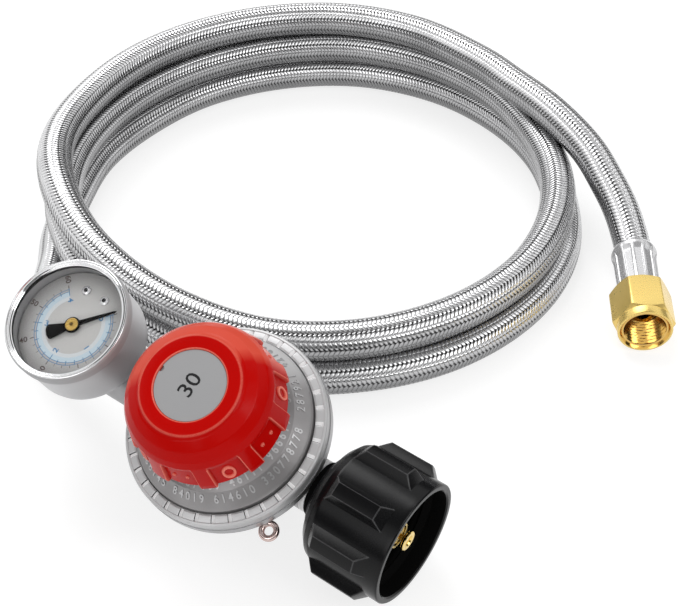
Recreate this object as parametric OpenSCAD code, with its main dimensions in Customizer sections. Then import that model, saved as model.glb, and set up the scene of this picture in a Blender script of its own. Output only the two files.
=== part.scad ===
// Propane regulator with its hose, in millimetres, +Z up.
// The regulator leans on its hand nut, and the hose lies beside it on the same floor.

/* [Placement] */
// how far the regulator is rolled back about its inlet, degrees
body_roll = 28;
// [0:1:40]
// how far the inlet dips towards the floor, degrees
inlet_dip = 4;
// [0:1:10]
// height of the inlet's axis above the floor under the knob
axis_height = 27.86;
// [20:0.01:40]

/* [Body] */
// radius of the flange that carries the diaphragm
flange_r = 33.3;
// [28:0.1:38]
// top face of the lower flange, above the inlet's axis
flange_top = 10.8;
// [8:0.1:14]
// thickness of the lower flange
flange_t = 3.7;
// [3:0.1:6]
// depth of the body's foot below the inlet's axis
foot_z = -23;
// [-28:0.5:-18]
// radius of the body's foot
foot_r = 16;
// [10:0.5:20]
// radius of the inlet boss
inlet_boss_r = 9;
// [8:0.1:12]
// radius of the outlet boss
outlet_boss_r = 10;
// [8:0.1:12]
// how far the outlet's end leans away from the gauge, degrees
outlet_lean = 25;
// [0:1:45]
// number of crimps in the ring
crimps = 36;
// [24:1:48]

/* [Knob] */
// radius at the skirt's ribs
knob_rib_r = 25.6;
// [22:0.1:28]
// height of the knob's top face
knob_top = 49.1;
// [44:0.1:54]
// height of the skirt's lower edge
knob_bottom = 29.3;
// [27:0.1:32]
// number of ribs round the skirt
knob_ribs = 10;
// [6:1:16]
// width of one rib
knob_rib_w = 5.2;
// [3:0.1:8]
// radius of the flat label
label_r = 11.2;
// [8:0.1:14]
// travel of the screw over its turns
screw_travel = 6;
// [3:0.5:8]

/* [Gauge] */
// distance of the gauge's axis from the knob's axis
gauge_x = -57;
// [-62:0.5:-54]
// radius of the bezel
bezel_r = 21;
// [19:0.1:24]
// height of the bezel's front
bezel_top = 35.9;
// [33:0.1:38]
// height of the gauge's back
case_back = 12.8;
// [12:0.1:15]
// depth of the dial below the bezel's front
dial_depth = 6.8;
// [5.5:0.1:7.5]
// angle of the needle at rest
needle_angle = 46;
// [0:1:90]

/* [Hand nut] */
// end of the nut, from the knob's axis
nut_mouth_x = 68.5;
// [64:0.5:72]
// radius of the nut between its ribs
nut_r = 20.5;
// [18:0.1:23]
// radius over the ribs
nut_rib_r = 23.6;
// [21:0.1:26]
// number of ribs
nut_ribs = 8;
// [6:1:12]
// radius of the threaded bore
nut_bore_r = 16.7;
// [15:0.1:17.5]
// radius of the lead-in before the thread
nut_lead_r = 18.2;
// [17.6:0.1:19.4]

/* [Hose] */
// outer diameter of the braid
hose_d = 14.3;
// [10:0.1:18]
// sides of the hose's section
hose_sides = 12;
// [8:1:12]

/* [Flare end] */
// hexagon across its flats
hex_af = 20.6;
// [19:0.1:23]
// length of the flare nut
flare_nut_l = 20;
// [18:0.5:24]
// radius of the flare nut's thread
flare_bore_r = 7.9;
// [7:0.1:9]
// length of the crimped ferrule
end_ferrule_l = 23.4;
// [18:0.1:26]

/* [Hidden] */
$fn = 96;
place_x = 7.7;                      // brings the regulator's box to the origin
place_y = 6.2;
clear = 0.06;                       // running clearance on a radius
hose_r = hose_d / 2;
flange_bottom = flange_top - flange_t;
chamber_z = -10.2;
mem_t = 1.2;                        // diaphragm
bonnet_z = flange_top + mem_t;
bonnet_flange_t = 1.8;
ring_z = bonnet_z + bonnet_flange_t;
neck_r = 12.5;
knob_ceiling = 45.2;
neck_top = knob_ceiling - screw_travel - 0.4;
screw_r = 4;
button_r = 9.5;
button_z = 28.5;
plate_z = 11.5;
plate_t = 1.3;
pin_x = -16;                        // lever pivot
pin_z = 5.8;
pin_r = 1;
lever_short = 5;
stem_r = 1.8;
dial_z = bezel_top - dial_depth;
case_r = bezel_r - 0.7;
gear_m = 0.35;                      // gauge movement
pinion_teeth = 10;
sector_teeth = 60;
gear_gap = gear_m * (pinion_teeth + sector_teeth) / 2;
needle_z = dial_z + 0.8;
boss_end = 9;                       // outlet, from where its bores cross
tube_start = 12;
ferrule_end = 27;
free_mouth = [75.6, 144.3, 10.3];   // mouth of the flare nut
free_turn = -57;
free_dip = 4;
tail_r = 5.5;
collar_r = 9;                       // bright washer behind the hand nut
stem_start = 5;                     // hose stem, clear of the gauge's stem
screw_ring = 12.7;                  // dial screws
plate_top_z = 26;                   // upper plate of the gauge's movement
collar_l = 3.6;                     // round collar at the flare nut's mouth
seat_z = -16.4;                     // where the flare nut holds the tail

// the hose's centre line, from under the knob: out of the outlet, round three times
// and out to the flare nut
route = [
    [-68, 2.5, 28], [-82, 5.5, 23.5], [-100, 12, 17.5], [-115, 26, 12.5], [-130, 45, 9], [-144, 61, 7.5],
    [-157, 82, 7.2], [-171, 114, 7.2], [-174, 149, 7.2], [-168, 184, 7.2], [-149, 216, 7.2],
    [-120, 239, 7.2], [-84, 248, 7.2], [-48, 243, 7.2], [-16, 227, 7.2], [9, 201, 7.2],
    [26, 170, 7.2], [31, 135, 7.2], [23, 99, 7.2], [3, 69, 7.2], [-27, 47, 7.5],
    [-64, 38, 11], [-100, 40, 17.5], [-133, 56, 22.5], [-157, 82, 22], [-171, 113, 21.7], [-175, 148, 21.7],
    [-168, 182, 21.7], [-150, 213, 21.7], [-122, 236, 21.7], [-86, 245, 21.7], [-50, 240, 21.7],
    [-19, 223, 21.7], [6, 199, 21.7], [22, 168, 21.7], [27, 133, 21.7], [19, 98, 21.7], [-1, 68, 21.7],
    [-31, 48, 22],
    [-69, 40, 25.5], [-105, 43, 32], [-136, 58, 37], [-160, 82, 36.6], [-173, 113, 36.3], [-177, 148, 36.3],
    [-170, 181, 36.3], [-152, 211, 36.3], [-125, 233, 36.3], [-91, 242, 36.3], [-56, 237, 36.3],
    [-33, 229, 36.2], [-10, 221, 35], [12, 212, 30.5], [27, 203, 25], [39, 194.5, 19.5],
    [50.6, 182.8, 13.5], [57.1, 172.7, 12.7]
];

function unit(v) = v / norm(v);
function tangent(p, i) = unit(p[min(i + 1, len(p) - 1)] - p[max(i - 1, 0)]);
function ring(p, i, r, n, up) = let (t = tangent(p, i), s = unit(cross(t, up)), u = cross(s, t))
    [for (k = [0 : n - 1]) p[i] + r * (cos(360 * k / n) * s + sin(360 * k / n) * u)];
function coil(r, z0, z1, turns, steps) = [for (i = [0 : turns * steps])
    [r * cos(360 * i / steps), r * sin(360 * i / steps), z0 + (z1 - z0) * i / (turns * steps)]];
function polar(r, a) = [r * cos(a), r * sin(a)];
function tooth(c, r_root, r_tip, half_root, half_tip) = [
    polar(r_root, c - half_root), polar(r_tip, c - half_tip), polar(r_tip, c + half_tip), polar(r_root,
        c + half_root)];

// a tube swept along points, closed at both ends
module sweep(p, r, n, up = [0, 0, 1]) {
    last = len(p) - 1;
    polyhedron(
        points = [for (i = [0 : last]) each ring(p, i, r, n, up)],
        faces = concat(
            [[for (k = [n - 1 : -1 : 0]) k]],
            [for (i = [0 : last - 1], k = [0 : n - 1]) let (a = i * n, b = a + n, m = (k + 1) % n)
                [a + k, a + m, b + m]],
            [for (i = [0 : last - 1], k = [0 : n - 1]) let (a = i * n, b = a + n, m = (k + 1) % n)
                [a + k, b + m, b + k]],
            [[for (k = [0 : n - 1]) last * n + k]]),
        convexity = 10);
}

// frames: the body's own, the inlet's and the outlet's with +Z out of them, the gauge's and the free end's
module posed() { translate([place_x, place_y, axis_height]) rotate([body_roll, inlet_dip, 0]) children(); }
module inlet() { posed() rotate([0, 90, 0]) children(); }
module outlet() { posed() translate([gauge_x, 0, 0]) rotate([0, -90 - outlet_lean, 0]) children(); }
module gauge() { posed() translate([gauge_x, 0, 0]) children(); }
module free_end() {
    translate([place_x, place_y, 0]) translate(free_mouth) rotate([0, 90 + free_dip, free_turn]) children();
}
module tube(r_out, r_in, z0, z1) {
    translate([0, 0, z0]) difference() {
        cylinder(r = r_out, h = z1 - z0);
        translate([0, 0, -1]) cylinder(r = r_in, h = z1 - z0 + 2);
    }
}
module along_x(r, x0, x1) { translate([x0, 0, 0]) rotate([0, 90, 0]) cylinder(r = r, h = x1 - x0); }
module along_y(r, y0, y1) { translate([0, y0, 0]) rotate([-90, 0, 0]) cylinder(r = r, h = y1 - y0); }
module block(a, b) { translate(a) cube(b - a); }

module lower_body() {
    color([0.62, 0.62, 0.62]) posed() difference() {
        union() {
            difference() {
                union() {
                    rotate_extrude() polygon([[0, foot_z], [foot_r, foot_z], [foot_r + 3.4, foot_z + 1.8],
                        [23.2, -15], [25.6, -4], [27.4, 3], [28.4, flange_bottom],
                        [flange_r - 0.7, flange_bottom], [flange_r, flange_bottom + 0.7],
                        [flange_r, flange_top], [0, flange_top]]);
                    along_x(inlet_boss_r, 20, 31);
                    along_x(outlet_boss_r, gauge_x, -22);
                }
                rotate_extrude() polygon([[0, chamber_z], [18, chamber_z], [22, -5], [25, 6],
                    [26, flange_top + 1], [0, flange_top + 1]]);
            }
            translate([gauge_x, 0, 0]) sphere(r = outlet_boss_r + 0.6);
            translate([gauge_x, 0, 0]) rotate([0, -90 - outlet_lean, 0]) cylinder(r = outlet_boss_r,
                h = boss_end);
            translate([gauge_x, 0, 0]) cylinder(r = 8, h = 10.2);
            along_x(7.5, 13, 24);
            block([-9, -4, chamber_z - 0.2], [-4, 4, 3.2]);
            for (s = [-1, 1]) translate([pin_x - 2.5, s * 4.5 - 1.5, chamber_z - 0.2])
                cube([5, 3, 8 - chamber_z + 0.2]);
        }
        along_x(6, 24, 32);
        along_x(collar_r + 0.1, 31, 34);
        along_x(5, 12, 25);
        along_x(4, gauge_x, -19);
        along_x(stem_r + clear, -10, -3);
        translate([gauge_x, 0, 0]) rotate([0, -90 - outlet_lean, 0]) {
            cylinder(r = 4.5, h = boss_end + 1);
            translate([0, 0, boss_end]) cylinder(r = 9, h = 4);
        }
        translate([gauge_x, 0, 0]) cylinder(r = 5, h = 11);
        translate([gauge_x, 0, 0]) sphere(r = 5.4);
        translate([pin_x, 0, pin_z]) along_y(pin_r, -7, 7);
    }
}

module bonnet() {
    color([0.6, 0.6, 0.6]) posed() difference() {
        rotate_extrude() polygon([[26.5, bonnet_z], [31.4, bonnet_z], [31.4, ring_z], [28.9, ring_z],
            [28.9, 16.4],
            [28.4, 17], [24.2, 21.2], [16, 25.6], [neck_r + 0.6, 28], [neck_r, 29.5], [neck_r, neck_top],
            [screw_r + clear, neck_top], [screw_r + clear, 34], [button_r + 0.08, 34],
                [button_r + 0.08, 21.6],
            [22, 17], [26.5, 14.4]]);
        rotate([0, 0, 120]) translate([19, 0, 12]) cylinder(r = 2.2, h = 15);
    }
}

module crimp_ring() {
    color([0.78, 0.78, 0.78]) posed() difference() {
        rotate_extrude() polygon([[31.4, flange_top], [33.1, flange_top], [33.1, 13.8], [32.2, 14.9],
            [29.7, 15.3],
            [29.3, 14.8], [29.3, ring_z], [31.4, ring_z]]);
        for (k = [0 : crimps - 1]) rotate([0, 0, -1 + 360 / crimps * k]) {
            translate([29, -0.45, 14.7]) rotate([0, 6, 0]) cube([5, 0.9, 1]);
            translate([32.7, -0.45, flange_top + 0.6]) cube([1, 0.9, 5]);
        }
    }
}

module seal_eye() {
    color([0.75, 0.62, 0.58]) posed() rotate([0, 0, -35]) difference() {
        union() {
            translate([35.2, 0, flange_bottom]) rotate_extrude() polygon([[1.4, -1.6], [1.9, -2.1],
                [2.8, -2.1], [3.4, -1.6], [3.4, -0.6], [2.8, 0], [1.9, 0], [1.4, -0.5]]);
            block([29.6, -1.6, flange_bottom - 1.5], [33, 1.6, flange_bottom]);
        }
        translate([35.2, 0, 0]) cylinder(r = 1.4, h = 10);
    }
}

module diaphragm() { color([0.15, 0.15, 0.15]) posed() tube(31.3, 20, flange_top, bonnet_z); }

module orifice_nozzle() {
    color([0.8, 0.62, 0.3]) inlet() difference() {
        union() {
            translate([0, 0, 11.4]) cylinder(r = 5, h = 12.6);
            translate([0, 0, 10]) cylinder(r1 = 2, r2 = 2.8, h = 1.5);
        }
        translate([0, 0, 9]) cylinder(r = 1.5, h = 16);
    }
}

module lever_pin() { color([0.7, 0.7, 0.7]) posed() translate([pin_x, 0, pin_z]) along_y(pin_r, -6, 6); }

module vent_screen() {
    color([0.5, 0.5, 0.5]) posed() rotate([0, 0, 120]) translate([19, 0, 20]) difference() {
        cylinder(r = 2.2, h = 0.8);
        for (k = [0 : 4]) rotate([0, 0, 72 * k]) translate([1.2, 0, -1]) cylinder(r = 0.35, h = 3);
    }
}

module main_spring() {
    color([0.7, 0.7, 0.72]) posed() sweep(coil(7.6, plate_z + plate_t + 0.9, button_z - 0.9, 5, 14), 0.9,
        8);
}

module spring_button() {
    color([0.7, 0.7, 0.7]) posed() {
        translate([0, 0, button_z]) cylinder(r = button_r, h = 2.5);
        translate([0, 0, button_z - 1.5]) cylinder(r = 6.2, h = 2);
    }
}

module adjusting_screw() {
    color([0.7, 0.7, 0.7]) posed() {
        translate([0, 0, button_z + 2.5]) cylinder(r = screw_r, h = knob_ceiling - button_z - 2.5);
        block([-2.5, -2.5, knob_ceiling - 0.2], [2.5, 2.5, 47]);
    }
}

module knob() {
    color([0.78, 0.08, 0.04]) posed() difference() {
        union() {
            rotate_extrude() polygon([[0, 47], [label_r, 47], [label_r + 0.2, knob_top - 0.3],
                [label_r + 0.6, knob_top],
                [15.4, knob_top], [16.4, 48.6], [20, 46], [22.2, 43.4], [23.4, 41], [23.4, 39.6],
                    [22.9, 38.4],
                [24.5, knob_bottom + 0.4], [24.2, knob_bottom], [0, knob_bottom]]);
            intersection() {
                rotate_extrude() polygon([[21, 41], [23.4, 41], [24.2, 38.6], [knob_rib_r, 31],
                    [knob_rib_r, knob_bottom + 0.3],
                    [knob_rib_r - 0.3, knob_bottom], [21, knob_bottom]]);
                for (k = [0 : knob_ribs - 1]) rotate([0, 0, 18 + 360 / knob_ribs * k])
                    block([20, -knob_rib_w / 2, knob_bottom - 1], [27, knob_rib_w / 2, 42]);
            }
        }
        rotate_extrude() polygon([[0, knob_bottom - 1], [22.4, knob_bottom - 1], [21, 38], [20.6, 40.5],
            [17.5, 44.2],
            [15, knob_ceiling], [0, knob_ceiling]]);
        block([-2.5, -2.5, 44], [2.5, 2.5, 48]);
    }
}

module knob_label() {
    color([0.65, 0.65, 0.65]) posed() difference() {
        translate([0, 0, 47]) cylinder(r = label_r, h = 1.7);
        translate([-label_r, 0, 48]) cylinder(r = 1, h = 2);
    }
}

module diaphragm_plate() {
    color([0.7, 0.7, 0.7]) posed() {
        tube(19.6, 2, plate_z, plate_z + plate_t);
        tube(6.5, 4.2, plate_z + plate_t, plate_z + plate_t + 1.2);
    }
}

module diaphragm_stem() {
    color([0.8, 0.62, 0.3]) posed() difference() {
        union() {
            translate([0, 0, 7.5]) cylinder(r = 2, h = 7);
            translate([0, 0, plate_z + plate_t]) cylinder(r = 4, h = 1.6);
            translate([0, 0, 4]) cylinder(r = 2.6, h = 4);
        }
        block([-4, -4, pin_z - 0.8], [1.3, 4, pin_z + 0.8]);
    }
}

module lever() {
    color([0.66, 0.66, 0.66]) posed() translate([pin_x, 0, pin_z]) difference() {
        union() {
            block([0, -1.5, -0.5], [-pin_x, 1.5, 0.5]);
            translate([-pin_x, 0, 0]) along_y(0.75, -1.5, 1.5);
            block([-0.7, -1, -lever_short], [0.7, 1, 0]);
            translate([0, 0, -lever_short]) along_y(0.94, -1, 1);
            along_y(2.2, -2.9, 2.9);
        }
        along_y(pin_r + clear, -4, 4);
    }
}

module valve_stem() {
    color([0.8, 0.62, 0.3]) posed() difference() {
        union() {
            along_x(stem_r, -18.6, 7.6);
            along_x(4.6, 6.4, 7.6);
        }
        block([pin_x - 1, -3, pin_z - lever_short - 1.1], [pin_x + 1, 3, 3]);
    }
}

module valve_disc() { color([0.12, 0.12, 0.12]) posed() along_x(4, 7.6, 9.6); }

module gauge_stem() {
    color([0.8, 0.62, 0.3]) gauge() difference() {
        union() {
            cylinder(r = 5, h = 10.2);
            translate([0, 0, 10.2]) cylinder(r = 8, h = case_back - 10.2, $fn = 6);
            translate([0, 0, case_back]) cylinder(r = 4.5, h = 1.8);
            block([-4.5, -16, case_back + 1.4], [4.5, 5, 19.6]);
        }
        translate([0, 0, -1]) cylinder(r = 1.5, h = 17);
    }
}

module gauge_case() {
    color([0.75, 0.75, 0.75]) gauge() rotate_extrude() polygon([[4.5, case_back], [case_r - 4, case_back],
        [case_r - 1.6, case_back + 0.8], [case_r - 0.4, case_back + 2.4], [case_r, case_back + 4.4],
        [case_r, 33.4], [case_r - 1.1, 33.4], [case_r - 1.1, case_back + 4.6],
            [case_r - 2.4, case_back + 2],
        [case_r - 4.2, case_back + 1.3], [4.5, case_back + 1.3]]);
}

module gauge_bezel() {
    color([0.85, 0.85, 0.85]) gauge() rotate_extrude() polygon([[case_r, 31.6], [bezel_r - 0.2, 31.6],
        [bezel_r, 32],
        [bezel_r, bezel_top - 0.9], [bezel_r - 0.7, bezel_top], [bezel_r - 1.2, bezel_top - 0.1],
        [bezel_r - 1.6, bezel_top - 0.5], [18.9, bezel_top - 0.6], [18.6, 35], [19.8, 35], [19.8, 33.4],
            [case_r, 33.4]]);
}

module gauge_lens() { color([0.9, 0.95, 1, 0.35]) gauge() translate([0, 0, 34.2]) cylinder(r = 19.8,
    h = 0.8); }

module lens_gasket() { color([0.1, 0.1, 0.1]) gauge() tube(19.8, 18.7, 33.4, 34.2); }

module dial_holes(z0, h) {
    for (a = [72, 108]) rotate([0, 0, a]) translate([screw_ring, 0, z0]) cylinder(r = 1, h = h);
}

module gauge_dial() {
    color([0.9, 0.9, 0.9]) gauge() difference() {
        translate([0, 0, dial_z - 0.7]) cylinder(r = 18.9, h = 0.7);
        translate([0, 0, dial_z - 2]) cylinder(r = 1.4, h = 4);
        dial_holes(dial_z - 2, 4);
    }
}

module dial_screws() {
    color([0.7, 0.7, 0.7]) gauge() for (a = [72, 108]) rotate([0, 0, a])
        translate([screw_ring, 0, dial_z]) difference() {
            union() {
                translate([0, 0, -3.4]) cylinder(r = 1, h = 3.5);
                rotate_extrude() polygon([[0, 0], [1.6, 0], [1.5, 0.3], [1, 0.55], [0, 0.6]]);
            }
            translate([0, 0, 0.2]) cylinder(r = 0.6, h = 1, $fn = 6);
        }
}

module bourdon_tube() {
    color([0.8, 0.62, 0.3]) gauge() {
        difference() {
            rotate([0, 0, -76]) rotate_extrude(angle = 280) translate([14.6, 14.4]) square([1.4, 4.4]);
            block([0, -17, 14], [4.5, -12, 20]);
        }
        rotate([0, 0, -156]) block([14.4, -1.2, 18.8], [16, 1.2, 24.6]);
    }
}

module gauge_link() {
    color([0.7, 0.7, 0.7]) gauge() translate([0, 0, 23]) difference() {
        union() {
            rotate([0, 0, -156]) block([12.2, -1, 0], [14.4, 1, 0.8]);
            translate([-11.4, -5.6, 0]) rotate([0, 0, -43]) block([-1, -0.9, 0], [8.6, 0.9, 0.8]);
        }
        translate([-5.2, -gear_gap, -1]) cylinder(r = 0.5, h = 3);
    }
}

module movement_frame() {
    color([0.78, 0.62, 0.32]) gauge() difference() {
        union() {
            for (z = [19.6, plate_top_z]) translate([0, 0, z]) {
                cylinder(r = 5, h = 1.1);
                block([-3.2, -gear_gap, 0], [3.2, 0, 1.1]);
                block([-5.4, 0, 0], [5.4, screw_ring + 1, 1.1]);
                translate([0, -gear_gap, 0]) cylinder(r = 3.2, h = 1.1);
            }
            for (a = [72, 108]) rotate([0, 0, a]) translate([screw_ring, 0, 19.6])
                cylinder(r = 1.7, h = dial_z - 0.7 - 19.6);
        }
        translate([0, 0, 15]) cylinder(r = 0.7 + clear, h = 20);
        dial_holes(dial_z - 3.4, 5);
    }
}

module sector_gear() {
    color([0.8, 0.64, 0.34]) gauge() translate([0, -gear_gap, 0]) difference() {
        union() {
            translate([0, 0, 24.4]) linear_extrude(height = 1) union() {
                intersection() {
                    circle(r = sector_teeth / 2 * gear_m - 1.5 * gear_m);
                    polygon([[0, 0], polar(16, 37), polar(16, 60), polar(16, 80), polar(16, 97)]);
                }
                for (k = [-1 : 8]) polygon(tooth(90 - 6 * (k + 0.5),
                    sector_teeth / 2 * gear_m - 1.7 * gear_m,
                    sector_teeth / 2 * gear_m + 0.7 * gear_m, 2.05, 0.75));
                circle(r = 2.2);
                polygon([[0, 2], [0, -2], [-5.2, -1.2], [-5.2, 1.2]]);
                translate([-5.2, 0]) circle(r = 1.2);
            }
            translate([0, 0, 20.9]) cylinder(r = 1.1, h = plate_top_z - 0.2 - 20.9);
        }
    }
}

module pinion() {
    color([0.8, 0.64, 0.34]) gauge() {
        translate([0, 0, 24.2]) linear_extrude(height = 1.4) union() {
            circle(r = pinion_teeth / 2 * gear_m - 1.2 * gear_m);
            for (k = [0 : pinion_teeth - 1]) polygon(tooth(-90 + 36 * k,
                pinion_teeth / 2 * gear_m - 1.4 * gear_m,
                pinion_teeth / 2 * gear_m + 0.7 * gear_m, 13, 4));
        }
        translate([0, 0, 19.9]) cylinder(r = 0.7, h = needle_z + 0.2 - 19.9);
    }
}

module needle() {
    color([0.1, 0.1, 0.1]) gauge() rotate([0, 0, needle_angle]) translate([0, 0, needle_z])
        linear_extrude(height = 0.4)
        difference() {
            union() {
                polygon([[0, -0.9], [14.4, -0.35], [15.3, 0], [14.4, 0.35], [0, 0.9]]);
                polygon([[0, -0.8], [0, 0.8], polar(8.1, 161.5), polar(8.7, 165), polar(9, 174),
                    polar(9, 186), polar(8.7, 195), polar(8.1, 198.5)]);
                circle(r = 2.7);
            }
            circle(r = 0.7);
        }
}

module needle_hub() {
    color([0.85, 0.7, 0.4]) gauge() translate([0, 0, needle_z + 0.4]) {
        cylinder(r = 2.2, h = 0.6);
    }
}

module inlet_nipple() {
    color([0.8, 0.62, 0.3]) inlet() difference() {
        rotate_extrude() polygon([[3.6, 24.2], [6, 24.2], [6, 31], [6.5, 31], [6.5, 46], [10, 46],
            [10.6, 46.6],
            [10.6, 48.4], [10, 49], [6, 49], [6, 56], [4.8, 56], [4.8, 57.8], [6, 57.8], [6, 58.4],
                [4.6, 59.6], [4.6, 62.6],
            [4.3, 63], [3.6, 63], [3.6, 56.5], [1.3 + clear, 56.5], [1.3 + clear, 54.5], [3.6, 54.5]]);
        for (a = [0, 120, 240]) rotate([0, 0, a]) translate([2.5, 0, 54]) cylinder(r = 0.7, h = 3);
    }
}

module nipple_oring() {
    color([0.1, 0.1, 0.1]) inlet() translate([0, 0, 56.9]) rotate_extrude() translate([5.65, 0])
        circle(r = 0.85);
}

module nut_collar() { color([0.85, 0.85, 0.85]) inlet() tube(collar_r, 6.5, 31, 33); }

module inlet_poppet() {
    color([0.85, 0.68, 0.36]) inlet() {
        rotate_extrude() polygon([[0, 49], [2.4, 49], [2.4, 50.2], [1.3, 50.2], [1.3, 62], [3.2, 62],
            [3.2, 62.6], [0.9, 62.6], [0.9, 65.4], [3.1, 65.4], [3.3, 65.6], [3.3, 66.2], [3.1, 66.4],
            [2, 66.4], [1.6, 65.9], [0, 65.9]]);
    }
}

module poppet_spring() { color([0.7, 0.7, 0.72]) inlet() sweep(coil(2.5, 56.9, 61.6, 3, 14), 0.35, 6); }

module hand_nut() {
    color([0.1, 0.1, 0.11]) inlet() difference() {
        union() {
            rotate_extrude() polygon([[9.3, 36.4], [12.8, 36.4], [13.6, 37.2], [17, 38.8], [19.5, 41],
                [nut_r, 43.4],
                [nut_r, nut_mouth_x - 1.2], [nut_r - 0.1, nut_mouth_x - 0.3], [nut_r - 0.4, nut_mouth_x],
                [nut_lead_r + 0.5, nut_mouth_x], [nut_lead_r, nut_mouth_x - 0.4], [nut_lead_r, nut_mouth_x - 5.5],
                [nut_bore_r, nut_mouth_x - 7.5], [nut_bore_r, 48.6], [15.2, 48], [15.2, 43.2], [9.3, 43.2]]);
            intersection() {
                rotate_extrude() polygon([[19, 42.6], [nut_r, 43.2], [nut_rib_r, 45.8], [nut_rib_r, 60.8],
                    [nut_r, 63.8], [19, 64.4]]);
                translate([0, 0, 41]) linear_extrude(height = 24) for (k = [0 : nut_ribs - 1])
                    polygon(tooth(2 + 360 / nut_ribs * k, 19.4, 24.6, 12.95, 3.7));
            }
        }
    }
}

module nut_bushing() {
    color([0.15, 0.15, 0.15]) inlet() {
        tube(9.3, 6.5 + clear, 33.4, 43.2);
        tube(12, 6.5 + clear, 43.2, 45.2);
    }
}

module hose_stem() {
    color([0.8, 0.62, 0.3]) outlet() rotate_extrude() polygon([[3, stem_start], [4.5, stem_start],
        [4.5, 9.6], [4.2, 9.8], [4.2, 10.6], [4.6, 11.2], [4.2, tube_start - 0.1], [3, tube_start - 0.1]]);
}

module crimped(r, z0, z1, flats) {
    for (k = [0 : flats - 1]) rotate([0, 0, 360 / flats * (k + 0.5)])
        block([r, -r, z0], [r + 4, r, z1]);
}

module outlet_ferrule() {
    color([0.7, 0.7, 0.7]) outlet() difference() {
        rotate_extrude() polygon([[4.6, boss_end], [7.6, boss_end], [8, boss_end + 0.6], [8.2, 12],
            [9.1, 14],
            [9.1, ferrule_end - 0.6], [8.6, ferrule_end], [hose_r + 0.05, ferrule_end],
                [hose_r + 0.05, tube_start - 0.6],
            [4.6, tube_start - 0.6]]);
        crimped(8.5, 15, ferrule_end - 4, 8);
    }
}

module hose() {
    color([0.6, 0.6, 0.6]) translate([place_x, place_y, 0]) sweep(route, hose_r, hose_sides);
}

module end_ferrule() {
    front = -flare_nut_l - 0.4;
    rear = front - end_ferrule_l;
    color([0.75, 0.75, 0.75]) free_end() difference() {
        rotate_extrude() polygon([[tail_r, front], [7.2, front], [7.7, front - 0.6], [7.9, rear + 8],
            [8.3, rear + 5.6], [8.9, rear + 3.6], [8.9, rear + 2], [8.3, rear + 0.4], [7.8, rear],
            [hose_r + 0.05, rear], [hose_r + 0.05, -34], [tail_r, -34]]);
        crimped(7.5, rear + 3, front - 0.4, 12);
    }
}

module flare_tail() {
    color([0.85, 0.7, 0.4]) free_end() rotate_extrude() polygon([[3, -34], [tail_r, -34],
        [tail_r, seat_z + 0.8], [7.3, seat_z + 2.6], [7.3, seat_z + 3.6], [4.4, seat_z + 6.8],
        [3, seat_z + 6.8]]);
}

module flare_nut() {
    r = hex_af / 2;
    color([0.86, 0.72, 0.36]) free_end() difference() {
        intersection() {
            union() {
                translate([0, 0, -flare_nut_l]) rotate([0, 0, 30]) cylinder(r = r / cos(30),
                    h = flare_nut_l - collar_l, $fn = 6);
                translate([0, 0, -flare_nut_l / 2]) cylinder(r = r - 0.1, h = flare_nut_l / 2);
            }
            rotate_extrude() polygon([[0, -flare_nut_l], [r - 0.4, -flare_nut_l],
                [r / cos(30), -flare_nut_l + 1.2], [r / cos(30), -collar_l - 1.1], [r - 0.1, -collar_l],
                [r - 0.1, -0.4], [r - 0.5, 0], [0, 0]]);
        }
        rotate_extrude() polygon([[0, -flare_nut_l - 1], [tail_r + clear, -flare_nut_l - 1],
            [tail_r + clear, seat_z], [7.6, seat_z + 2.1], [8.2, seat_z + 2.1], [8.2, seat_z + 7],
            [flare_bore_r, seat_z + 7], [flare_bore_r, -0.6], [flare_bore_r + 0.8, 0.2],
            [flare_bore_r + 0.8, 1], [0, 1]]);
    }
}

lower_body();
bonnet();
crimp_ring();
seal_eye();
diaphragm();
orifice_nozzle();
lever_pin();
vent_screen();
main_spring();
spring_button();
adjusting_screw();
knob();
knob_label();
diaphragm_plate();
diaphragm_stem();
lever();
valve_stem();
valve_disc();
gauge_stem();
gauge_case();
gauge_bezel();
gauge_lens();
lens_gasket();
gauge_dial();
dial_screws();
bourdon_tube();
gauge_link();
movement_frame();
sector_gear();
pinion();
needle();
needle_hub();
inlet_nipple();
nipple_oring();
nut_collar();
inlet_poppet();
poppet_spring();
hand_nut();
nut_bushing();
hose_stem();
outlet_ferrule();
hose();
end_ferrule();
flare_tail();
flare_nut();
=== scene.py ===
import math
import random

import bpy
import bmesh
from mathutils import Matrix, Vector


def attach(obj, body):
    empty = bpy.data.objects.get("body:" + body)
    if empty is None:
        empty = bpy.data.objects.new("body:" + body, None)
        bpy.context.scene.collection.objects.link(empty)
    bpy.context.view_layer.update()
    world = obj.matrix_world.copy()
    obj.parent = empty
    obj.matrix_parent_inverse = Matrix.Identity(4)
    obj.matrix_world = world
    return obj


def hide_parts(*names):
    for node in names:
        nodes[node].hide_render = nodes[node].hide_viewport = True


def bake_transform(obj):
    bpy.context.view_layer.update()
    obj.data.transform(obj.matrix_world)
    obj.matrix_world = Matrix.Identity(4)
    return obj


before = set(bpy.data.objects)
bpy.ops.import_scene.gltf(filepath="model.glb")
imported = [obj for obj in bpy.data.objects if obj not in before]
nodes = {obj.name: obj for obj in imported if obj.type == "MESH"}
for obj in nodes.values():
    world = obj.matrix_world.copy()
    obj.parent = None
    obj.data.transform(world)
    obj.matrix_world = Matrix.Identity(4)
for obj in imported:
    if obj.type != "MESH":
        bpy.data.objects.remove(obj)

scene = bpy.context.scene
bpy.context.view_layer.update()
print("frame loaded:", len(nodes), "nodes")


# places of the regulator, its inlet, its gauge and the hose's free end
def turned(axis, degrees):
    return Matrix.Rotation(math.radians(degrees), 4, axis)


def moved(x, y, z):
    return Matrix.Translation((x, y, z))


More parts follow.
